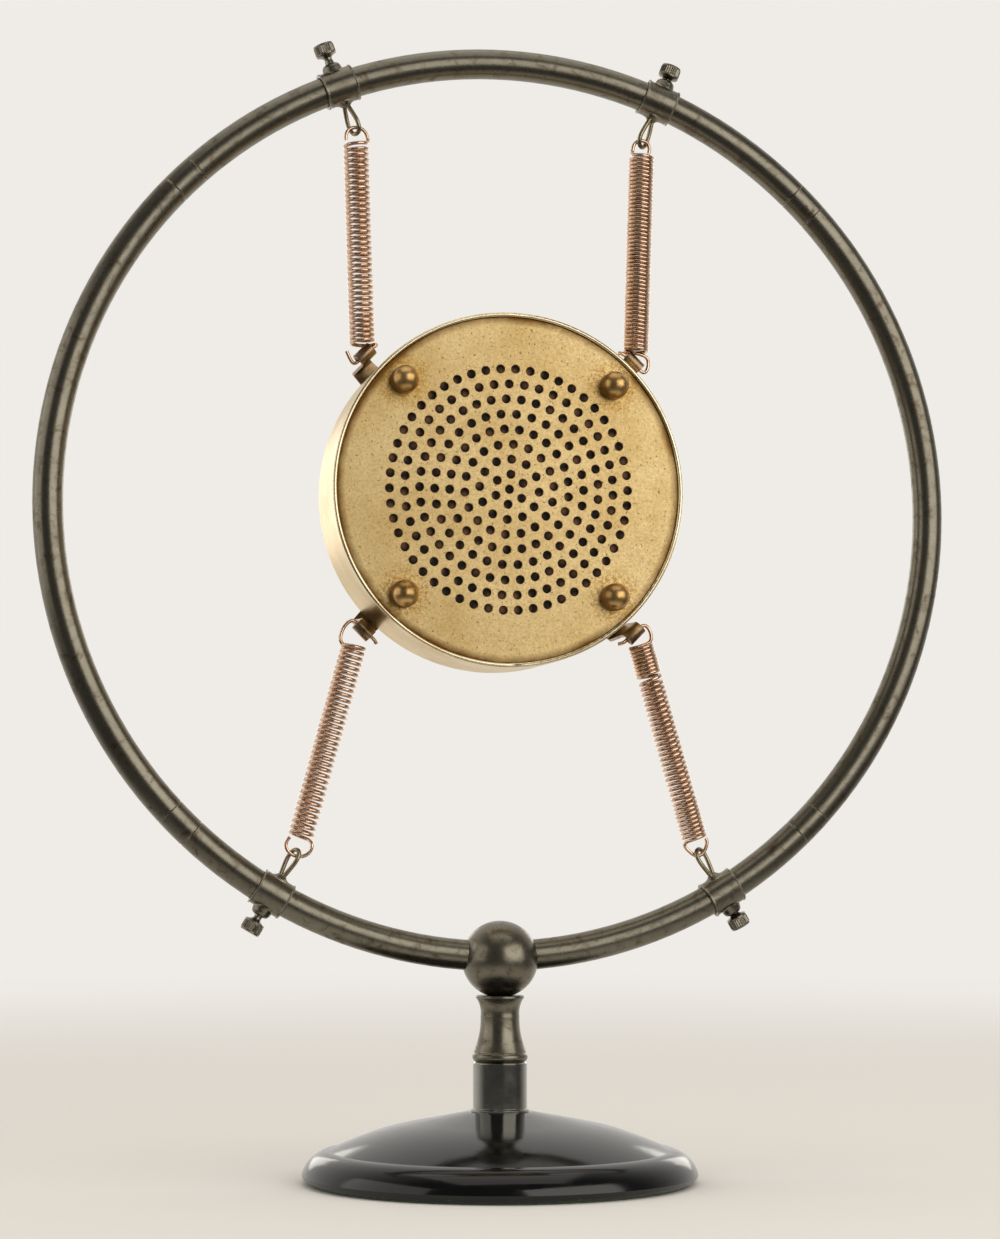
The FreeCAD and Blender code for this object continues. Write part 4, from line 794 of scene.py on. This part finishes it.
class MICROPHONE_OT_lugs(bpy.types.Operator):
    """Bend four brass straps from under the bolt heads, forward past the case and round the springs' hooks"""
    bl_idname = "microphone.lugs"
    bl_label = "Spring lugs"

    def execute(self, context):
        p = context.scene.microphone_clamps
        low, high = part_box("front_plate")
        middle = Vector(((low.x + high.x) / 2, 0, (low.z + high.z) / 2))
        made = bmesh.new()
        for side in SIDES:
            eye, down, length = spring_line(side)
            lug = eye + down * length
            out = (lug - middle).normalized()
            along = out.cross(ALONG_Y)
            edge = None
            for x, y, half in strap_stations(p):
                centre = lug + out * (x * MM) + ALONG_Y * (y * MM)
                spots = [centre + along * (way * half * MM) for way in (-1, 1)]
                if edge is None:
                    edge = made.edges.new([made.verts.new(spot) for spot in spots])
                    continue
                grown = bmesh.ops.extrude_edge_only(made, edges=[edge])["geom"]
                edge = next(item for item in grown if isinstance(item, bmesh.types.BMEdge))
                for vert in edge.verts:
                    vert.co = min(spots, key=lambda spot: (spot - vert.co).length_squared)
        bmesh.ops.recalc_face_normals(made, faces=made.faces)
        mesh = bpy.data.meshes.new("strap_lugs")
        made.to_mesh(mesh)
        made.free()
        brown = browned_brass("browned_brass_strap", colour("#b39a7a"), colour("#755d43"), 0.34)
        straps = finish_mesh("strap_lugs", mesh, brown, "capsule", "brown_brass", "spring_lugs")
        thick = straps.modifiers.new("thickness", "SOLIDIFY")
        thick.thickness = p.strap_thickness
        thick.offset = 0
        rounded = straps.modifiers.new("edges", "BEVEL")
        rounded.width = 0.12 * MM
        rounded.segments = 2
        return {"FINISHED"}


class MICROPHONE_OT_thumbscrews(bpy.types.Operator):
    """Turn the four thumbscrews and knurl their heads"""
    bl_idname = "microphone.thumbscrews"
    bl_label = "Thumbscrews"

    def execute(self, context):
        p = context.scene.microphone_clamps
        nickel = plain_metal("worn_nickel_plate", colour("#a39c8f"), colour("#6f685b"), 0.28, 0.4)
        for side in SIDES:
            place = clamp_frame(side)
            out, spot = place.col[2].to_3d(), place.translation
            shape = frame["nodes"]["thumbscrew_" + side].data
            heights = [(vert.co - spot).dot(out) / MM for vert in shape.vertices]
            tip, top = min(heights), max(heights)
            screw = turning([
                (0, tip), (1.0, tip), (1.2, tip + 0.2), (1.2, top - 5.0), (1.02, top - 4.5),
                (1.1, top - 3.95), (1.9, top - 3.4), (2.55, top - 3.2), (2.74, top - 3.05),
                (2.75, top - 2.8), (2.62, top - 2.65), (2.62, top - 2.6), (2.75, top - 2.5),
                (2.75, top - 0.62), (2.6, top - 0.5), (2.6, top - 0.45), (2.68, top - 0.34),
                (2.6, top - 0.1), (2.3, top), (1.9, top - 0.04), (0, top - 0.04)], 2 * p.screw_ridges)
            press_ridges(screw, p.screw_ridges, p.ridge_depth, top - 2.55, top - 0.55)
            name = "knurled_screw_" + side
            mesh = gathered(name, [(screw, place)])
            finish_mesh(name, mesh, nickel, "thumbscrew_" + side, "worn_nickel", "thumbscrew_" + side)
            sharpen(mesh, math.radians(20))
        return {"FINISHED"}


class MICROPHONE_OT_terminal_nuts(bpy.types.Operator):
    """Turn and knurl the two nuts of the terminals at the back"""
    bl_idname = "microphone.terminal_nuts"
    bl_label = "Terminal nuts"

    def execute(self, context):
        p = context.scene.microphone_clamps
        brass = plain_metal("knurled_brass", colour("#c7a868"), colour("#9a7d47"), 0.3, 0.3)
        low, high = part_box("terminal_nuts")
        radius = (high.z - low.z) / 2 / MM
        thick = (high.y - low.y) / MM
        bore = radius * 3 / 7
        outline = [(bore, 0), (radius - 0.4, 0), (radius, 0.4), (radius, 0.7), (radius, thick - 0.7),
                   (radius, thick - 0.4), (radius - 0.4, thick), (bore + 0.2, thick),
                   (bore, thick - 0.2), (bore, 0)]
        nuts = []
        for x in (low.x + radius * MM, high.x - radius * MM):
            nut = turning(outline, 2 * p.nut_ridges)
            press_ridges(nut, p.nut_ridges, p.ridge_depth, 0.5, thick - 0.5)
            place = Matrix.Translation((x, low.y, (low.z + high.z) / 2))
            nuts.append((nut, place @ Matrix.Rotation(-math.pi / 2, 4, "X")))
        mesh = gathered("knurled_terminal_nuts", nuts)
        finish_mesh(mesh.name, mesh, brass, "capsule", "plain_brass", "terminal_nuts")
        sharpen(mesh, math.radians(20))
        return {"FINISHED"}


class MICROPHONE_OT_stage(bpy.types.Operator):
    """Lay the floor and set the lights, the backdrop and the camera"""
    bl_idname = "microphone.stage"
    bl_label = "Stage"

    def execute(self, context):
        p = context.scene.microphone_stage
        scene = context.scene
        scene.view_settings.view_transform = "Standard"
        self.make_world(p, scene)
        self.make_floor(p, scene)
        for name, round_by, height, size, level in (
                ("right_softbox", 46, 0.46, (1.3, 0.95), p.right_light),
                ("left_softbox", -74, 0.4, (1.3, 0.95), p.left_light),
                ("left_edge_light", -158, 0.3, (0.3, 0.32), p.edge_light),
                ("right_edge_light", 158, 0.3, (0.3, 0.32), p.edge_light)):
            turn = p.camera_azimuth + math.radians(round_by)
            self.make_light(name, (1.15 * math.sin(turn), -1.15 * math.cos(turn), height), size, level)
        self.make_light("top_light", (0, -0.1, 1.3), (1.2, 1.2), p.top_light)
        lens = bpy.data.cameras.new("camera")
        lens.sensor_fit = "VERTICAL"
        lens.sensor_height = 36
        lens.lens = LENS_MM
        lens.clip_start = 0.02
        camera = bpy.data.objects.new("camera", lens)
        turn = p.camera_azimuth
        camera.location = (p.camera_distance * math.sin(turn), -p.camera_distance * math.cos(turn),
                           p.camera_height)
        camera.rotation_euler = (math.pi / 2 + p.camera_tilt, 0, turn)
        scene.collection.objects.link(camera)
        scene.camera = camera
        return {"FINISHED"}

    def make_light(self, name, spot, size, level):
        """An area light turned to the object, as bright to look into as level."""
        lamp = bpy.data.lights.new(name, "AREA")
        lamp.shape = "RECTANGLE"
        lamp.size, lamp.size_y = size
        lamp.energy = level * math.pi * size[0] * size[1]
        lamp.color = colour("#fffaf2")[:3]
        holder = bpy.data.objects.new(name, lamp)
        holder.location = spot
        holder.rotation_euler = (Vector((0, 0, 0.17)) - Vector(spot)).to_track_quat("-Z", "Y").to_euler()
        bpy.context.scene.collection.objects.link(holder)

    def make_world(self, p, scene):
        """Pale behind the object, dimmer behind the camera, and a quieter even light on what is dull."""
        world = bpy.data.worlds.new("studio")
        world.use_nodes = True
        scene.world = world
        tree = world.node_tree
        tree.nodes.clear()
        rays = add(tree, "LightPath")
        mirror = add(tree, "Math", {0: rays.outputs["Is Glossy Ray"], 1: rays.outputs["Is Transmission Ray"]},
                     operation="MAXIMUM")
        toward = add(tree, "SeparateXYZ", {0: add(tree, "TexCoord").outputs["Generated"]})
        room = add(tree, "MapRange", {"Value": toward.outputs["Y"], "From Min": ROOM_DARK,
                                      "From Max": ROOM_PALE, "To Min": p.room_front},
                   interpolation_type="SMOOTHSTEP")
        plain = add(tree, "Mix", {FACTOR: mirror.outputs[0], 2: p.ambient, 3: room.outputs[0]})
        level = add(tree, "Mix", {FACTOR: rays.outputs["Is Camera Ray"], 2: plain.outputs[0], 3: 1.0})
        light = add(tree, "Background", {"Color": p.backdrop, "Strength": level.outputs[0]})
        add(tree, "OutputWorld", {"Surface": light.outputs[0]})

    def make_floor(self, p, scene):
        """A pale matt floor that runs into the backdrop further out."""
        made = bmesh.new()
        bmesh.ops.create_circle(made, cap_ends=True, segments=96, radius=6)
        mesh = bpy.data.meshes.new("floor")
        made.to_mesh(mesh)
        made.free()
        material, tree = new_material("pale_floor")
        place = add(tree, "TexCoord").outputs["Object"]
        away = add(tree, "VectorMath", {0: place}, operation="LENGTH")
        far = add(tree, "MapRange", {"Value": away.outputs["Value"], "From Min": 0.25, "From Max": 1.3},
                  interpolation_type="SMOOTHSTEP")
        rays = add(tree, "LightPath")
        mirror = add(tree, "Math", {0: rays.outputs["Is Glossy Ray"], 1: rays.outputs["Is Transmission Ray"]},
                     operation="MAXIMUM")
        seen = add(tree, "Math", {0: rays.outputs["Is Camera Ray"], 1: mirror.outputs[0]}, operation="MAXIMUM")
        close = add(tree, "MapRange", {"Value": away.outputs["Value"], "From Min": 0.06, "From Max": 0.25},
                    interpolation_type="SMOOTHSTEP")
        reach = add(tree, "Mix", {FACTOR: mirror.outputs[0], 2: far.outputs[0], 3: close.outputs[0]})
        fade = add(tree, "Math", {0: reach.outputs[0], 1: seen.outputs[0]}, operation="MULTIPLY")
        aimed = add(tree, "VectorMath", {0: place}, operation="NORMALIZE")
        toward = add(tree, "SeparateXYZ", {0: aimed.outputs[0]})
        room = add(tree, "MapRange", {"Value": toward.outputs["Y"], "From Min": ROOM_DARK,
                                      "From Max": ROOM_PALE, "To Min": p.room_front},
                   interpolation_type="SMOOTHSTEP")
        level = add(tree, "Mix", {FACTOR: mirror.outputs[0], 2: 1.0, 3: room.outputs[0]})
        matt = add(tree, "BsdfDiffuse", {"Color": colour("#dedbd6")})
        glow = add(tree, "Emission", {"Color": p.backdrop, "Strength": level.outputs[0]})
        mixed = add(tree, "MixShader", {0: fade.outputs[0], 1: matt.outputs[0], 2: glow.outputs[0]})
        add(tree, "OutputMaterial", {"Surface": mixed.outputs[0]})
        mesh.materials.append(material)
        floor = bpy.data.objects.new("floor", mesh)
        scene.collection.objects.link(floor)


class MICROPHONE_PT_panel(bpy.types.Panel):
    """Buttons for every group of pieces"""
    bl_idname = "MICROPHONE_PT_panel"
    bl_label = "Carbon microphone"
    bl_space_type = "VIEW_3D"
    bl_region_type = "UI"
    bl_category = "Microphone"

    def draw(self, context):
        for operator in OPERATORS:
            self.layout.operator(operator.bl_idname)


GROUPS = {"microphone_springs": SpringSettings, "microphone_clamps": ClampSettings,
          "microphone_finish": FinishSettings, "microphone_stage": StageSettings}
OPERATORS = (MICROPHONE_OT_stand, MICROPHONE_OT_ring, MICROPHONE_OT_capsule, MICROPHONE_OT_inside,
             MICROPHONE_OT_springs, MICROPHONE_OT_sleeves, MICROPHONE_OT_lugs,
             MICROPHONE_OT_thumbscrews, MICROPHONE_OT_terminal_nuts, MICROPHONE_OT_stage)
CLASSES = (*GROUPS.values(), *OPERATORS, MICROPHONE_PT_panel)


def register():
    for cls in CLASSES:
        bpy.utils.register_class(cls)
    for name, cls in GROUPS.items():
        setattr(bpy.types.Scene, name, PointerProperty(type=cls))


def unregister():
    for name in GROUPS:
        delattr(bpy.types.Scene, name)
    for cls in reversed(CLASSES):
        bpy.utils.unregister_class(cls)


def main():
    register()
    bpy.ops.microphone.stand()
    bpy.ops.microphone.ring()
    bpy.ops.microphone.capsule()
    bpy.ops.microphone.inside()
    bpy.ops.microphone.springs()
    bpy.ops.microphone.sleeves()
    bpy.ops.microphone.lugs()
    bpy.ops.microphone.thumbscrews()
    bpy.ops.microphone.terminal_nuts()
    bpy.ops.microphone.stage()


if __name__ == "__main__":
    main()
